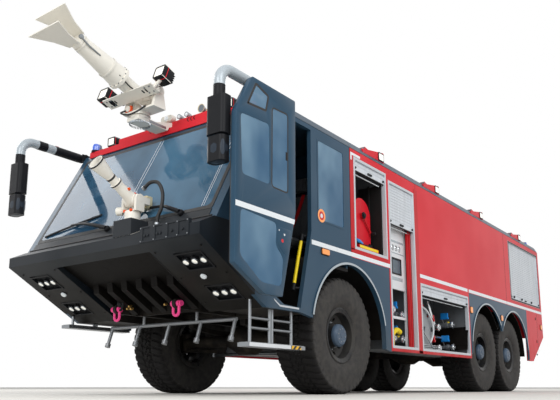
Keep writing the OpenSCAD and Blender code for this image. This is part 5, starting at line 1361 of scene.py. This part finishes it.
class TRUCK_OT_bumper_monitor(Piece):
    """Hose, caps, nozzle mouth and pedestal cover of the bumper monitor"""
    bl_idname = "truck.bumper_monitor"
    bl_label = "Bumper monitor"

    def build(self, s):
        ax = tilted(30)
        u, v, w = ax

        def at(p):
            return np.asarray(p, float) @ ax + BUMPER_MONITOR

        o = at([.0, 0, 0])
        mouth = Shape().turned([[.083, .545], [.0905, .548], [.0905, .561], [.078, .5605],
            [.07, .545]], o, u, 40)
        mouth.turned([[.0405, .33], [.0505, .33], [.0505, .35], [.0405, .35]], o, u, 36)
        mouth.turned([[.0625, .255], [.0645, .258], [.0645, .268], [.0625, .271]], o, u, 36)
        mouth.make("bumper_nozzle_rings", "rubber", "bumper_gun_lift")
        core = Shape().turned([[0, .43], [.03, .435], [.036, .47], [.03, .5], [0, .505]], o, u, 28)
        for a in np.arange(6) * np.pi / 3:
            core.slab([[0, 0], [.045, 0], [.045, .05], [0, .05]], at([.445, 0, 0]) + cos(a) * v * .02 + sin(a)
                * w * .02, cos(a) * v + sin(a) * w, u, (-sin(a) * v + cos(a) * w) * .003)
        core.make("bumper_nozzle_core", "plastic", "bumper_gun_lift")
        caps = Shape().turned([[0, 0], [.02, 0], [.018, .02], [0, .022]], at([.02, 0, .064]), w, 18)
        caps.turned([[0, 0], [.016, 0], [.014, .018], [0, .02]], at([.14, .052, .02]), v, 18)
        caps.make("bumper_barrel_caps", "orange", "bumper_gun_lift")
        turn = BUMPER_MONITOR
        Shape().turned([[0, 0], [.04, 0], [.044, .006], [.044, .06], [.036, .068], [0, .07]],
            turn + [.03, -.112, -.1], (.6, -1, 0), 28).make("bumper_monitor_motor", "cream",
            "bumper_gun_turn")
        Shape().slab(rounded(.128, .132, .012, 4), turn + [-.204, 0, .012], *END_ON,
            [.078, 0, 0]).make("bumper_actuator", "leaf", "bumper_gun_turn", bevel=.004)
        red = Shape()
        for p, d in (([.056, -.05, -.115], (1, 0, 0)), ([.056, .045, -.115], (1, 0, 0)),
                ([.0, -.112, -.09], (0, -1, 0))):
            red.turned([[0, 0], [.017, 0], [.015, .016], [0, .018]], turn + p, d, 16)
        red.make("bumper_monitor_caps", "orange", "bumper_gun_turn")
        studs = Shape()
        for a in np.arange(8) * np.pi / 4 + .2:
            studs.turned([[0, -.001], [.008, -.001], [.008, .006], [0, .007]],
                [turn[0] + .072 * cos(a), turn[1] + .072 * sin(a), 1.738], UP, 6)
        studs.make("bumper_base_bolts", "steel")
        # Pedestal cover in the nose's colour
        def deck(x):
            """Height of the nose's sloped deck at x."""
            return 1.548 + (FRONT_X + 2.546 - x) * .478

        x0, x1 = FRONT_X + 2.322, NOSE_X - .0075
        o = np.array([[x0, deck(x0) + .001], [x1, deck(x1) + .001], [x1, 1.7215], [x0, 1.7215]])
        Shape().slab(o, [0, turn[1] - .132, 0], *SIDE_ON, [0, .264, 0]).make("bumper_pedestal",
            "nose", bevel=.006)
        # Hose from the barrel's seat in an arc over the deck, and its gland
        end = np.array([FRONT_X + 2.36, .745, deck(FRONT_X + 2.36) + .003])
        path = smooth_path([[FRONT_X + 2.4, .585, 2.055], [FRONT_X + 2.385, .66, 2.105],
            [FRONT_X + 2.36, .745, 2.09], [FRONT_X + 2.345, .795, 1.98], [FRONT_X + 2.35, .79, 1.83],
            end + [0, .01, .1], end], 60)
        Shape().tube(path, .0185, 12).make("bumper_hose", "rubber")
        gland = Shape().turned([[0, 0], [.036, 0], [.036, .01], [.028, .016], [.027, .04], [.02, .046],
            [0, .046]], end, UP, 24)
        gland.turned([[0, -.012], [.026, -.012], [.026, .012], [0, .012]], path[0], (0, 1, .4), 20)
        gland.make("bumper_hose_glands", "steel")


# ---- mirrors

class TRUCK_OT_mirrors(Piece):
    """Mirror arms with black sleeves, shells with glasses"""
    bl_idname = "truck.mirrors"
    bl_label = "Mirrors"

    def build(self, s):
        x1, y, z = FRONT_X + 2.44, 1.61, 3.06
        for side, sy in SIDES:
            put = placer(side, sy)
            t = np.linspace(0, np.pi / 2, 18)
            bend = np.stack([x1 - .165 + .165 * np.sin(t), np.full(18, y), z - .165 + .165 * np.cos(t)], -1)
            put(Shape().tube(np.vstack([[FRONT_X + 1.6, y, z], [FRONT_X + 1.9, y, z], bend, [x1, y, 2.8]]),
                .0555, 28), "mirror_arm", "arm_grey")
            sleeve = Shape()
            for xs in ((1.6, 1.75, 1.98), (2.1, 2.18, 2.22)) if side == "right" else ():
                sleeve.tube([[FRONT_X + x, y, z] for x in xs], .0575, 28)
            for r, sides, zs in ((.0575, 28, (2.735, 2.77, 2.86)), (.034, 20, (2.335, 2.35, 2.372))):
                sleeve.tube([[x1, y, place] for place in zs], r, sides)
            put(sleeve, "mirror_sleeves", "plastic")
            for name, z0, z1, hw, hd in (("main", 2.3645, 2.7405, .0655, .1),
                    ("wide", 2.1045, 2.3455, .0665, .1045)):
                v = np.linspace(0, 1, 20)
                f = 1 - .3 * np.abs(2 * v - 1) ** 9 - .05 * (2 * v - 1) ** 2
                a = angles(48)
                c, sn = np.cos(a), np.sin(a)
                px = np.sign(c) * np.abs(c) ** .55 * hw
                py = np.sign(sn) * np.abs(sn) ** .55 * hd
                p = np.stack([x1 + f[:, None] * px, y + f[:, None] * py,
                    (z0 + (z1 - z0) * v)[:, None] + 0 * px], -1)
                shell = Shape().grid(p, wrap_v=True)
                shell.faces += [tuple(range(48)), tuple(range(19 * 48, 20 * 48))]
                put(shell, f"mirror_{name}_shell", "mirror_grey", smooth=50)
                h = z1 - z0
                put(Shape().slab(rounded(.15, h - .09, .03, 5), [x1 - hw * .985, y, (z0 + z1) / 2], *END_ON,
                    [-.0015, 0, 0]), f"mirror_{name}_glass", "mirror")
            put(Shape().slab(rounded(.05, .016, .006, 3), [FRONT_X + 1.95, y - .012, z + .0545], *FLAT,
                [0, 0, .003]), "mirror_arm_mark", "handle_red", slot="fire_red")


# ---- body sides

# The grab rail's distance from the middle
RAIL_Y = 1.395
# Openings in the body sides: X behind the front axle from and to, Z from and to
LOCKERS = ((.23, 1.11, 1.76, 2.96), (1.17, 1.98, .59, 2.89), (2.11, 3.99, .59, 1.57),
    (6.33, 8.33, 1.77, 2.96))


class TRUCK_OT_body_trim(Piece):
    """Stripes, markers, seams, opening trims, rails, emblem ring of the body sides"""
    bl_idname = "truck.body_trim"
    bl_label = "Body trim"

    def build(self, s):
        for side, sy in SIDES:
            put = placer(side, sy)
            stripe = Shape()
            for x0, x1 in ((.735, .2), (.196, -1.165), (-2.055, -3.985), (-4.045, -6.045), (-6.055, -8.43)):
                o = from_front([[x1, s.stripe_low], [x0, s.stripe_low], [x0, s.stripe_high],
                    [x1, s.stripe_high]])
                stripe.slab(o, [0, SIDE + .0002, 0], *SIDE_ON, [0, .0014, 0])
            put(stripe, "side_stripe", "tape")
            # Amber markers in dark seats
            seats, lens = Shape(), Shape()
            for x, z in ((.46, 1.605), (-4.11, 1.36), (-5.68, 1.35), (-8.3, 1.36)):
                c = [FRONT_X + x, SIDE, z]
                wide = .15 if x > 0 else .085
                high = .062 if x > 0 else .1
                seats.slab(rounded(wide + .02, high + .02, .016, 4), c, *SIDE_ON, [0, .006, 0])
                lens.slab(rounded(wide, high, .014, 4), np.add(c, [0, .005, 0]), *SIDE_ON, [0, .014, 0])
            put(seats, "marker_seats", "plastic")
            put(lens, "marker_lenses", "amber", bevel=.003)
            # Trims round the openings: bare metal on the frames of three, black round the rear bay
            trims, border = Shape(), Shape()
            for i, (x0, x1, z0, z1) in enumerate(LOCKERS):
                trim, wide = (trims, .03) if i < 3 else (border, .028)
                trim.join(frame_strip(FRONT_X - x1 + .004, z0 + .004, FRONT_X - x0 - .004, z1 - .004, wide,
                    SIDE + .003, SIDE + .0055))
            put(trims, "opening_trims", "frame", smooth=20)
            put(border, "rear_bay_trim", "rubber", smooth=20)
            # Red borders round the openings in the darker copy of the fire red: painted shade
            red = Shape().boxes(from_front([[-.226, SIDE + .0001, 1.745], [-1.112, SIDE + .0001, 1.712],
                [-2.105, SIDE + .0001, .552], [-3.996, SIDE + .0001, .552]]),
                from_front([[-.137, SIDE + .0035, 3.045], [-.137, SIDE + .0035, 1.762],
                [-1.985, SIDE + .0035, 2.96], [-1.175, SIDE + .0035, .588]]))
            put(red, "red_borders", "red_deep", bevel=.001)
            put(Shape().slab(from_front([[-.4, 3.0], [-.155, 3.0], [-.155, 2.9], [-.185, 2.9], [-.185, 2.966],
                [-.4, 2.966]]), [0, SIDE + .0036, 0], *SIDE_ON, [0, .0012, 0]), "corner_angle", "tape")
            # Panel seams
            seams = Shape()
            for x in (2.05, 6.052):
                seams.boxes([[FRONT_X - x - .003, SIDE - .004, 1.71 if x > 5 else .56]],
                    [[FRONT_X - x + .003, SIDE + .0012, 3.045]])
            seams.boxes([[FRONT_X - 8.023, SIDE + .0002, .8], [FRONT_X - 1.14, SIDE + .0002, .56]],
                [[FRONT_X - 8.017, SIDE + .0012, 1.64], [FRONT_X - 1.134, SIDE + .0012, 1.71]])
            put(seams, "panel_seams", "rubber")
            # Bright arch edges
            for name, x, r, a0, a1 in (("front", FRONT_X - .115, .851, 12, 168),
                    ("middle", MIDDLE_X - .2, .841, 10, 142), ("rear", REAR_X - .238, .841, 38, 170)):
                a = np.linspace(radians(a0), radians(a1), 64)
                path = np.stack([x + (r + .012) * np.cos(a), np.full(64, SIDE + .0125),
                    AXLE_Z + (r + .012) * np.sin(a)], -1)
                put(Shape().band(path, [[-.013, 0], [.013, 0], [.013, .002], [-.013, .002]], LEFT,
                    closed=False), f"arch_edge_{name}", "arm_grey")
            # Round emblem: plain rings
            if side == "left":
                c = [FRONT_X + .53, SIDE + .003, 2.02]
                for name, look, slot, inner, outer, high in (("outer", "amber", None, .052, .078, .0016),
                        ("middle", "handle_red", "fire_red", .026, .053, .0014),
                        ("centre", "white", None, 0, .027, .0014)):
                    profile = [[inner, 0], [outer, 0], [outer, high], [inner, high]]
                    Shape().turned(profile + profile[:1] * (inner > 0), c, LEFT,
                        48 if inner else 36).make(f"emblem_{name}", look, slot=slot)
            # Hinges, latches and knobs of the rear bay and the tail panel
            knobs = Shape()
            for x in (-6.55, -7.05, -7.72):
                knobs.turned([[0, 0], [.022, 0], [.022, .016], [.016, .02], [0, .02]],
                    [FRONT_X + x, SIDE - .004, 1.845], LEFT, 16)
            for x, z in ((-7.923, 1.035), (-7.923, 1.52)):
                knobs.slab(rounded(.03, .055, .006, 3), [FRONT_X + x, SIDE, z], *SIDE_ON, [0, .006, 0])
            knobs.turned([[0, 0], [.018, 0], [.018, .014], [0, .016]],
                [FRONT_X - 7.853, SIDE, .757], LEFT, 16)
            put(knobs, "tail_latches", "plastic")
            # Yellow grab rail with black ends in the door opening; bright sill strip
            rail = Shape().tube(from_front([[.792, RAIL_Y, 1.69], [.864, RAIL_Y, 1.438],
                [.93, RAIL_Y, 1.193]]), .019, 14)
            ends = Shape().tube(from_front([[.769, RAIL_Y, 1.77], [.781, RAIL_Y, 1.728],
                [.792, RAIL_Y, 1.688]]), .0215, 14)
            ends.tube(from_front([[.93, RAIL_Y, 1.195], [.94, RAIL_Y, 1.158], [.951, RAIL_Y, 1.118]]), .0215,
                14)
            for x, z in ((.774, 1.753), (.944, 1.143)):
                ends.tube([[FRONT_X + x - d, RAIL_Y + d * 2 / 3, z] for d in (0, .03, .06)], .014, 10)
            put(rail, "grab_rail", "yellow")
            put(ends, "grab_rail_ends", "plastic")
            put(Shape().slab(from_front([[.995, .893], [1.335, .893], [1.43, .948], [1.44, .966],
                [1.335, .912], [.995, .912]]), [0, SIDE + .0005, 0], *SIDE_ON, [0, .003, 0]),
                "sill_strip", "frame")


# ---- lockers

class TRUCK_OT_lockers(Piece):
    """Reels, pump panel, outlets, shutter pulls and edges inside the lockers"""
    bl_idname = "truck.lockers"
    bl_label = "Lockers"

    def build(self, s):
        for side, sy in SIDES:
            put = placer(side, sy)
            # Hose wound on the reel, in close turns
            c = np.array([FRONT_X - .755, 1.115, 2.32])
            turns = 9
            t = np.linspace(0, turns * 2 * np.pi, turns * 28)
            y = -.135 + .27 * t / t[-1]
            wound = Shape()
            for r in (.166, .192):
                wound.tube(np.stack([c[0] + r * np.cos(t), c[1] + (y if r < .18 else -y),
                    c[2] + r * np.sin(t)], -1), .0145, 8)
            put(wound, "wound_hose", "hose", body=f"reel_{side}")
            put(Shape().turned([[0, 0], [.046, 0], [.046, .01], [.03, .014], [.028, .026], [0, .028]],
                [c[0], 1.34, c[2]], LEFT, 28), "reel_hub", "plastic", body=f"reel_{side}")
            a = radians(134)
            d = np.array([cos(a), 0, -sin(a)])
            put(Shape().turned([[0, 0], [.018, 0], [.022, .012], [.022, .06], [.016, .072], [0, .074]],
                c + d * .3 + [0, .215, 0], LEFT, 20), "reel_grip", "plastic", body=f"reel_{side}")
            # Fittings below the reel: yellow rail and a hose mouth
            put(Shape().boxes([[c[0] - .25, 1.31, 1.8355]], [[c[0] + .25, 1.4155, 1.8805]]), "reel_guide",
                "yellow", bevel=.006)
            spout = Shape().tube(smooth_path([c + [-.21, .18, -.36], c + [-.16, .24, -.4],
                c + [-.02, .265, -.425], c + [.14, .262, -.43], c + [.22, .25, -.4]], 40), .021, 12)
            put(spout, "reel_hose_end", "plastic")
            put(Shape().turned([[0, -.06], [.02, -.06], [.026, -.02], [.03, .04], [.022, .075], [.026, .1],
                [0, .1]], c + [.17, .255, -.395], (1, 0, .2), 20), "reel_nozzle", "handle_blue")
            put(Shape().boxes([[FRONT_X - 1.075, 1.1, 1.8], [FRONT_X - 1.01, 1.28, 1.8]],
                [[FRONT_X - 1.055, 1.445, 2.79], [FRONT_X - .995, 1.3, 2.79]]), "reel_partition", "chassis",
                slot="frame_black", bevel=.003)
            # Pump panel: screen, dials, switches, label plates
            px = FRONT_X - 1.215
            put(Shape().slab(rounded(.262, .2, .006, 3), [px - .419, 1.3465, 1.7585], *SIDE_ON, [0, .01, 0]),
                "pump_display", "screen_face")
            bezel = ring(eased(np.array([[px - .568, 1.64], [px - .27, 1.64], [px - .27, 1.877],
                [px - .568, 1.877]]), .01, 3),
                eased(np.array([[px - .548, 1.66], [px - .29, 1.66], [px - .29, 1.857], [px - .548, 1.857]]),
                .008, 3), 1.3605, 1.368)
            put(bezel, "pump_display_bezel", "plastic")
            faces, rims, hands = Shape(), Shape(), Shape()
            for x in (.12, .22, .32, .42, .52):
                c2 = np.array([px - x, 1.3485, 2.02])
                faces.turned([[0, 0], [.036, 0], [.036, .002], [0, .0025]], c2, LEFT, 28)
                rims.turned([[.034, .008], [.041, .008], [.0415, .016], [.038, .02],
                    [.034, .018]], c2, LEFT, 28)
                ang = 2.2 + x * 3
                hands.slab([[-.003, -.008], [.003, -.008], [.0008, .028], [-.0008, .028]], c2 + [0, .004, 0],
                    [cos(ang), 0, sin(ang)], [-sin(ang), 0, cos(ang)], [0, .0015, 0])
            put(faces, "dial_faces", "white")
            put(rims, "dial_rims", "chrome")
            put(hands, "dial_hands", "handle_red")
            keys = Shape()
            for x in (.1, .15, .2):
                for z in (1.6, 1.68, 1.76):
                    keys.turned([[0, 0], [.0135, 0], [.0135, .012], [.011, .015], [0, .015]],
                        [px - x, 1.3605, z], LEFT, 14)
            put(keys, "pump_keys", "yellow")
            plates = Shape()
            for x0, x1, z0, z1 in ((.28, .6, 1.555, 1.605), (.05, .66, 2.1, 2.13), (.05, .66, 1.94, 1.955)):
                plates.boxes([[px - x1, 1.3605, z0]], [[px - x0, 1.3625, z1]])
            put(plates, "pump_label_plates", "arm_grey")
            # Outlet caps, handles and valve bodies
            caps, blue, yellow, red = Shape(), Shape(), Shape(), Shape()
            outlets = ((1.6, 1.15), (1.875, 1.095), (1.6, .75), (1.875, .75), (3.16, 1.01), (3.735, 1.095),
                (3.16, .685), (3.735, .725))
            for i, (x, z) in enumerate(outlets):
                o = np.array([FRONT_X - x, 1.32, z])
                caps.turned([[0, .002], [.03, .002], [.044, -.002], [.052, -.006], [.052, -.036],
                    [.046, -.04]], o, LEFT, 28)
                caps.turned([[.018, .001], [.03, .001], [.03, .012], [.018, .012], [.018, .001]], o, LEFT, 24)
                target = blue if i not in (4, 6) else red
                h = o + [.075, -.115, .105]
                target.tube([h + [0, -.07, 0], h, h + [0, .07, 0]], [.018, .021, .018], 12)
                target.boxes([h + [-.02, -.06, -.006]], [h + [.02, .06, .085]])
                if i in (0, 3, 5):
                    yellow.turned([[0, -.03], [.04, -.03], [.046, -.01], [.046, .02], [.03, .035], [0, .036]],
                        o + [-.02, -.1, .01], LEFT, 20)
            yellow.tube(smooth_path(from_front([[-1.47, 1.3, .7], [-1.5, 1.335, .8], [-1.6, 1.345, .86],
                [-1.72, 1.335, .84]]), 24), np.linspace(.03, .04, 24), 14)
            yellow.boxes([[FRONT_X - 1.53, 1.31, .63]], [[FRONT_X - 1.5, 1.35, .8]])
            put(caps, "outlet_caps", "chrome")
            put(blue, "valve_handles", "handle_blue", bevel=.004)
            put(yellow, "yellow_fittings", "yellow", bevel=.003)
            red.turned([[0, -.05], [.055, -.05], [.07, -.02], [.07, .03], [.045, .055], [0, .06]],
                [FRONT_X - 2.52, 1.24, 1.36], LEFT, 24)
            red.turned([[0, -.05], [.045, -.05], [.055, -.02], [.055, .02], [.035, .045], [0, .05]],
                [FRONT_X - 2.66, 1.23, 1.3], (.3, 1, 0), 24)
            put(red, "red_fittings", "handle_red")
            # Bright pipes and trays of the low locker
            pipes = Shape().tube(smooth_path(from_front([[-3.02, 1.2, 1.42], [-3.05, 1.22, 1.25],
                [-3.1, 1.24, 1.12], [-3.16, 1.24, 1.02]]), 24), .026, 12)
            pipes.tube(from_front([[-3.2, 1.15, .88], [-3.45, 1.15, .88], [-3.7, 1.15, .88]]), .02, 10)
            for zz in (.655, .68, .705):
                pipes.tube(from_front([[-2.46, 1.335, zz], [-2.8, 1.335, zz], [-3.1, 1.335, zz]]), .006, 8)
            pipes.tube(from_front([[-2.34, 1.34, 1.02], [-2.6, 1.34, .84], [-2.86, 1.34, .66]]), .009, 8)
            put(pipes, "locker_pipes", "chrome")
            put(Shape().tube(smooth_path(from_front([[-2.56, 1.29, 1.3], [-2.75, 1.31, 1.22],
                [-2.93, 1.31, 1.05], [-2.93, 1.31, .88], [-2.8, 1.31, .74]]), 40), .014, 10),
                "locker_hose", "white")
            # Shutter bars: pulls and end knobs
            bars = Shape()
            for x0, x1, z in ((.265, 1.075, 2.795), (1.205, 1.945, 2.29), (2.145, 3.955, 1.405),
                    (6.365, 8.295, 1.805)):
                for x in (x0 + .03, x1 - .03):
                    bars.turned([[0, 0], [.016, 0], [.016, .012], [.012, .016], [0, .016]],
                        [FRONT_X - x, 1.4885, z + .035], LEFT, 14)
                xm = (x0 + x1) / 2
                bars.slab(rounded(.11, .026, .008, 3), [FRONT_X - xm, 1.4885, z + .032],
                    *SIDE_ON, [0, .014, 0])
            put(bars, "shutter_pulls", "plastic", bevel=.002)
            lips = Shape()
            for x0, x1, z in ((.266, 1.074, 2.795), (1.206, 1.944, 2.29), (2.146, 3.954, 1.405)):
                lips.boxes([[FRONT_X - x1, 1.466, z - .004]], [[FRONT_X - x0, 1.4885, z + .004]])
            put(lips, "shutter_lips", "rubber")
            # Locker door edge in the darker copy of the fire red: painted shade
            put(Shape().boxes([[FRONT_X - 1.943, 1.405, .63], [FRONT_X - 1.885, 1.4, .63]],
                [[FRONT_X - 1.915, 1.445, 2.86], [FRONT_X - 1.87, 1.44, 2.28]]), "door_edge",
                "red_deep", bevel=.003)
            lamps = Shape()
            for x0, x1, z in ((.3, 1.04, 2.775), (1.24, 1.91, 2.272), (2.2, 3.9, 1.385)):
                lamps.tube([[FRONT_X - x1, 1.425, z], [FRONT_X - (x0 + x1) / 2, 1.425, z],
                    [FRONT_X - x0, 1.425, z]], .008, 8)
            put(lamps, "locker_lamps", "lens")


# ---- steps and rear

def side_step_top(sy):
    """Height of the tread of a cab step: the left one hangs low, the right one is carried under its door."""
    return .51 if sy > 0 else .83


def housing(places, radius, reach, y0, y1):
    """Sheet 6 mm thick over wheels at places in X: z = axle + sqrt(radius^2 - dx^2), dx to the nearest."""
    x = np.linspace(min(places) - radius + .004, max(places) + reach, 90)
    d = np.min(np.abs(x[:, None] - places), 1)
    lines = [np.column_stack([x, AXLE_Z + np.sqrt(np.maximum(r * r - d * d, 0))]) for r in (radius,
        radius - .006)]
    loops = [side_points(lines[0], y0), side_points(lines[0], y1), side_points(lines[1], y1),
        side_points(lines[1], y0)]
    return Shape().grid(np.stack(loops), wrap_u=True)


class TRUCK_OT_steps(Piece):
    """Tread plates, hazard edge, wheel housings, rear lamps, latches and plate"""
    bl_idname = "truck.steps"
    bl_label = "Steps and rear"

    def build(self, s):
        for side, sy in SIDES:
            put = placer(side, sy)
            z = float(side_step_top(sy))
            put(Shape().slab(rounded(.93, .135, .01, 3), [FRONT_X + 1.325, 1.405, z + .0005], *FLAT,
                [0, 0, .004]), "step_tread", "plate")
            put(Shape().slab(rounded(.185, .036, .004, 2), [FRONT_X + 1.02, 1.4805, z - .02], *SIDE_ON,
                [0, .002, 0]), "step_hazard", "hazard")
            put(Shape().slab(rounded(.7, .036, .004, 2), [FRONT_X + 1.45, 1.4805, z - .02], *SIDE_ON,
                [0, .002, 0]), "step_edge", "white")
            # Dark housings over the wheels
            for where, places, radius, reach, y1 in (("front", [FRONT_X - .115], .853, .48, 1.448),
                    ("rear", [REAR_X, MIDDLE_X], .843, .839, 1.488)):
                roof = housing(np.array(places), radius, reach, .88, y1)
                put(roof, f"wheel_housing_{where}", "chin")
            # Rear wall: lamps and the ladders' feet
            rings, lens = Shape(), Shape()
            for z in (1.26, 1.4, 1.54):
                c = [TAIL_X - .0125, sy * 1.31, z]
                rings.turned([[.05, -.001], [.06, -.001], [.06, .008], [.054, .012], [.05, .01]], c,
                    (-1, 0, 0), 32)
                lens.turned([[0, .01], [.03, .009], [.05, .004], [.05, 0]], c, (-1, 0, 0), 32)
            rings.make(f"tail_lamp_rings_{side}", "chrome")
            lens.make(f"tail_lamp_lenses_{side}", "tail")
            feet = Shape()
            for y in (.83, 1.17):
                for z in (1.3, 2.93):
                    feet.turned([[0, -.001], [.03, -.001], [.03, .005], [.02, .008], [0, .008]],
                        [TAIL_X, sy * y, z], (-1, 0, 0), 20)
            feet.make(f"ladder_feet_{side}", "steel")
        strip = Shape()
        for y0, y1 in ((-1.46, -1.22), (1.22, 1.46), (-.8, .8)):
            strip.slab([[y0, 1.655], [y1, 1.655], [y1, 1.705], [y0, 1.705]], [TAIL_X - .0002, 0, 0], *END_ON,
                [-.0014, 0, 0])
        strip.make("rear_stripe", "tape")
        Shape().slab(rounded(.52, .115, .01, 4), [TAIL_X - .0005, 0, 1.3], *END_ON,
            [-.004, 0, 0]).make("blank_plate", "white", bevel=.001)
        door = Shape()
        for y0, y1, z0, z1 in ((-.72, .72, 1.8, 1.815), (-.72, .72, 2.75, 2.765), (-.72, -.705, 1.8, 2.765),
                (.705, .72, 1.8, 2.765)):
            door.boxes([[TAIL_X - .003, y0, z0]], [[TAIL_X + .001, y1, z1]])
        door.make("rear_hatch_seam", "rubber")
        latch = Shape()
        for y in (-.6, .6):
            latch.slab(rounded(.09, .045, .01, 4), [TAIL_X - .0005, y, 1.87], *END_ON, [-.012, 0, 0])
        latch.make("rear_hatch_latches", "chrome", bevel=.003)


# ---- cab inside

# From a rear seat's foot to the top of its headrest
REAR_SEAT_HIGH = 1.185


class TRUCK_OT_seats(Piece):
    """Three padded seats with headrests and belts"""
    bl_idname = "truck.seats"
    bl_label = "Seats"

    @staticmethod
    def pad(wide, long, thick, crown, n=26):
        """A cushion: sides drawn in, faces rise by crown (1-a^4)(1-b^4), less sewn channels."""
        a = np.linspace(-1, 1, n)
        A, B = np.meshgrid(a, a, indexing="ij")
        edge = (1 - A ** 6) * (1 - B ** 6)
        X = A * wide / 2 * (1 - .035 * (1 - B ** 2))
        Y = B * long / 2 * (1 - .035 * (1 - A ** 2))
        channel = .01 * np.exp(-((np.abs(A) - .52) / .05) ** 2) * edge
        top = thick / 2 * np.sqrt(np.clip(edge, 0, 1)) + crown * (1 - A ** 4) * (1 - B ** 4) - channel
        low = -thick / 2 * np.sqrt(np.clip(edge, 0, 1))
        return np.stack([X, Y, top], -1), np.stack([X, Y, low], -1)

    def build(self, s):
        places = ((1.25, 0.0), (.4, 1.0), (.4, -1.0))
        low, high = (np.array(v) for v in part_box("seats"))
        half = min(abs(low[1]), abs(high[1]))
        well = half - .24
        base_z = float(low[2])
        for i, (x, row) in enumerate(places):
            z = base_z if i == 0 else self.seat_floor(high)
            o = np.array([FRONT_X + x, row * well, z])
            base = Shape().slab(rounded(.35, .35, .05, 5), o + [0, 0, .001], *FLAT, [0, 0, .06])
            for j, zz in enumerate((.075, .105, .135, .165)):
                base.slab(rounded(.33 - .02 * (j % 2), .33 - .02 * (j % 2), .06, 5), o + [0, 0, zz - .012],
                    *FLAT, [0, 0, .025])
            base.slab(rounded(.4, .44, .04, 5), o + [0, 0, .178], *FLAT, [0, 0, .03])
            base.make(f"seat_base_{i}", "plastic", replaces=["seats"] if i == 0 else ())
            seat_pad = self.shape_pad(.5, .46, .1, .012, o + [.02, 0, .272], np.eye(3))
            t = radians(7)
            lean = np.array([[0, 1, 0], [-sin(t), 0, cos(t)], [cos(t), 0, sin(t)]])
            back = self.shape_pad(.44, .6, .1, .012, o + [-.245, 0, .655], lean)
            head = self.shape_pad(.25, .19, .08, .008, o + [-.287, 0, 1.085], lean)
            for name, pad in (("cushion", seat_pad), ("back", back), ("head", head)):
                obj = pad.make(f"seat_{name}_{i}", "cloth", smooth=60)
            belt = Shape()
            p = np.array([[-.2, .13, .93], [-.178, .1, .8], [-.165, .02, .6], [-.16, -.08, .42]])
            belt.band(smooth_path(o + p, 24), [[-.022, 0], [.022, 0], [.022, .003], [-.022, .003]],
                (.95, .15, .2), closed=False)
            belt.make(f"seat_belt_{i}", "handle_red", slot="seat_fabric")

    def shape_pad(self, wide, long, thick, crown, origin, axes):
        """A pad put on axes whose rows are its width, length and thickness directions."""
        shape = Shape()
        order = axes if not np.allclose(axes, np.eye(3)) else np.array([[0, 1, 0], [1, 0, 0], [0, 0, 1]])
        for sheet in self.pad(wide, long, thick, crown):
            shape.grid(sheet @ order + origin)
        return shape

    @staticmethod
    def seat_floor(high):
        """Foot of the rear seats, from the top of their headrests."""
        return float(high[2]) - REAR_SEAT_HIGH


CLASSES = [TRUCK_OT_stage, TRUCK_OT_finishes, TRUCK_OT_tyres, TRUCK_OT_wheel_centres, TRUCK_OT_doors,
    TRUCK_OT_windscreen, TRUCK_OT_nose, TRUCK_OT_roof_lamps, TRUCK_OT_roof_monitor, TRUCK_OT_bumper_monitor,
    TRUCK_OT_mirrors, TRUCK_OT_body_trim, TRUCK_OT_lockers, TRUCK_OT_steps, TRUCK_OT_seats]


class TRUCK_PT_panel(bpy.types.Panel):
    """Lists the truck's operators and settings"""
    bl_idname = "TRUCK_PT_panel"
    bl_label = "Airport fire truck"
    bl_space_type = "VIEW_3D"
    bl_region_type = "UI"
    bl_category = "Truck"

    def draw(self, context):
        for group in (context.scene.truck_paint, context.scene.truck_sizes):
            for name in group.__annotations__:
                self.layout.prop(group, name)
        for c in CLASSES:
            self.layout.operator(c.bl_idname)


def register():
    """Registers settings, operators and panel."""
    for c in (TruckPaint, TruckSizes, *CLASSES, TRUCK_PT_panel):
        bpy.utils.register_class(c)
    bpy.types.Scene.truck_paint = PointerProperty(type=TruckPaint)
    bpy.types.Scene.truck_sizes = PointerProperty(type=TruckSizes)


def unregister():
    """Takes them all out again."""
    del bpy.types.Scene.truck_paint, bpy.types.Scene.truck_sizes
    for c in reversed((TruckPaint, TruckSizes, *CLASSES, TRUCK_PT_panel)):
        bpy.utils.unregister_class(c)


def main():
    """Registers the add-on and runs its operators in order."""
    register()
    for c in CLASSES:
        group, name = c.bl_idname.split(".")
        if getattr(getattr(bpy.ops, group), name)() != {"FINISHED"}:
            raise RuntimeError(f"{c.bl_label} did not finish")


if __name__ == "__main__":
    main()
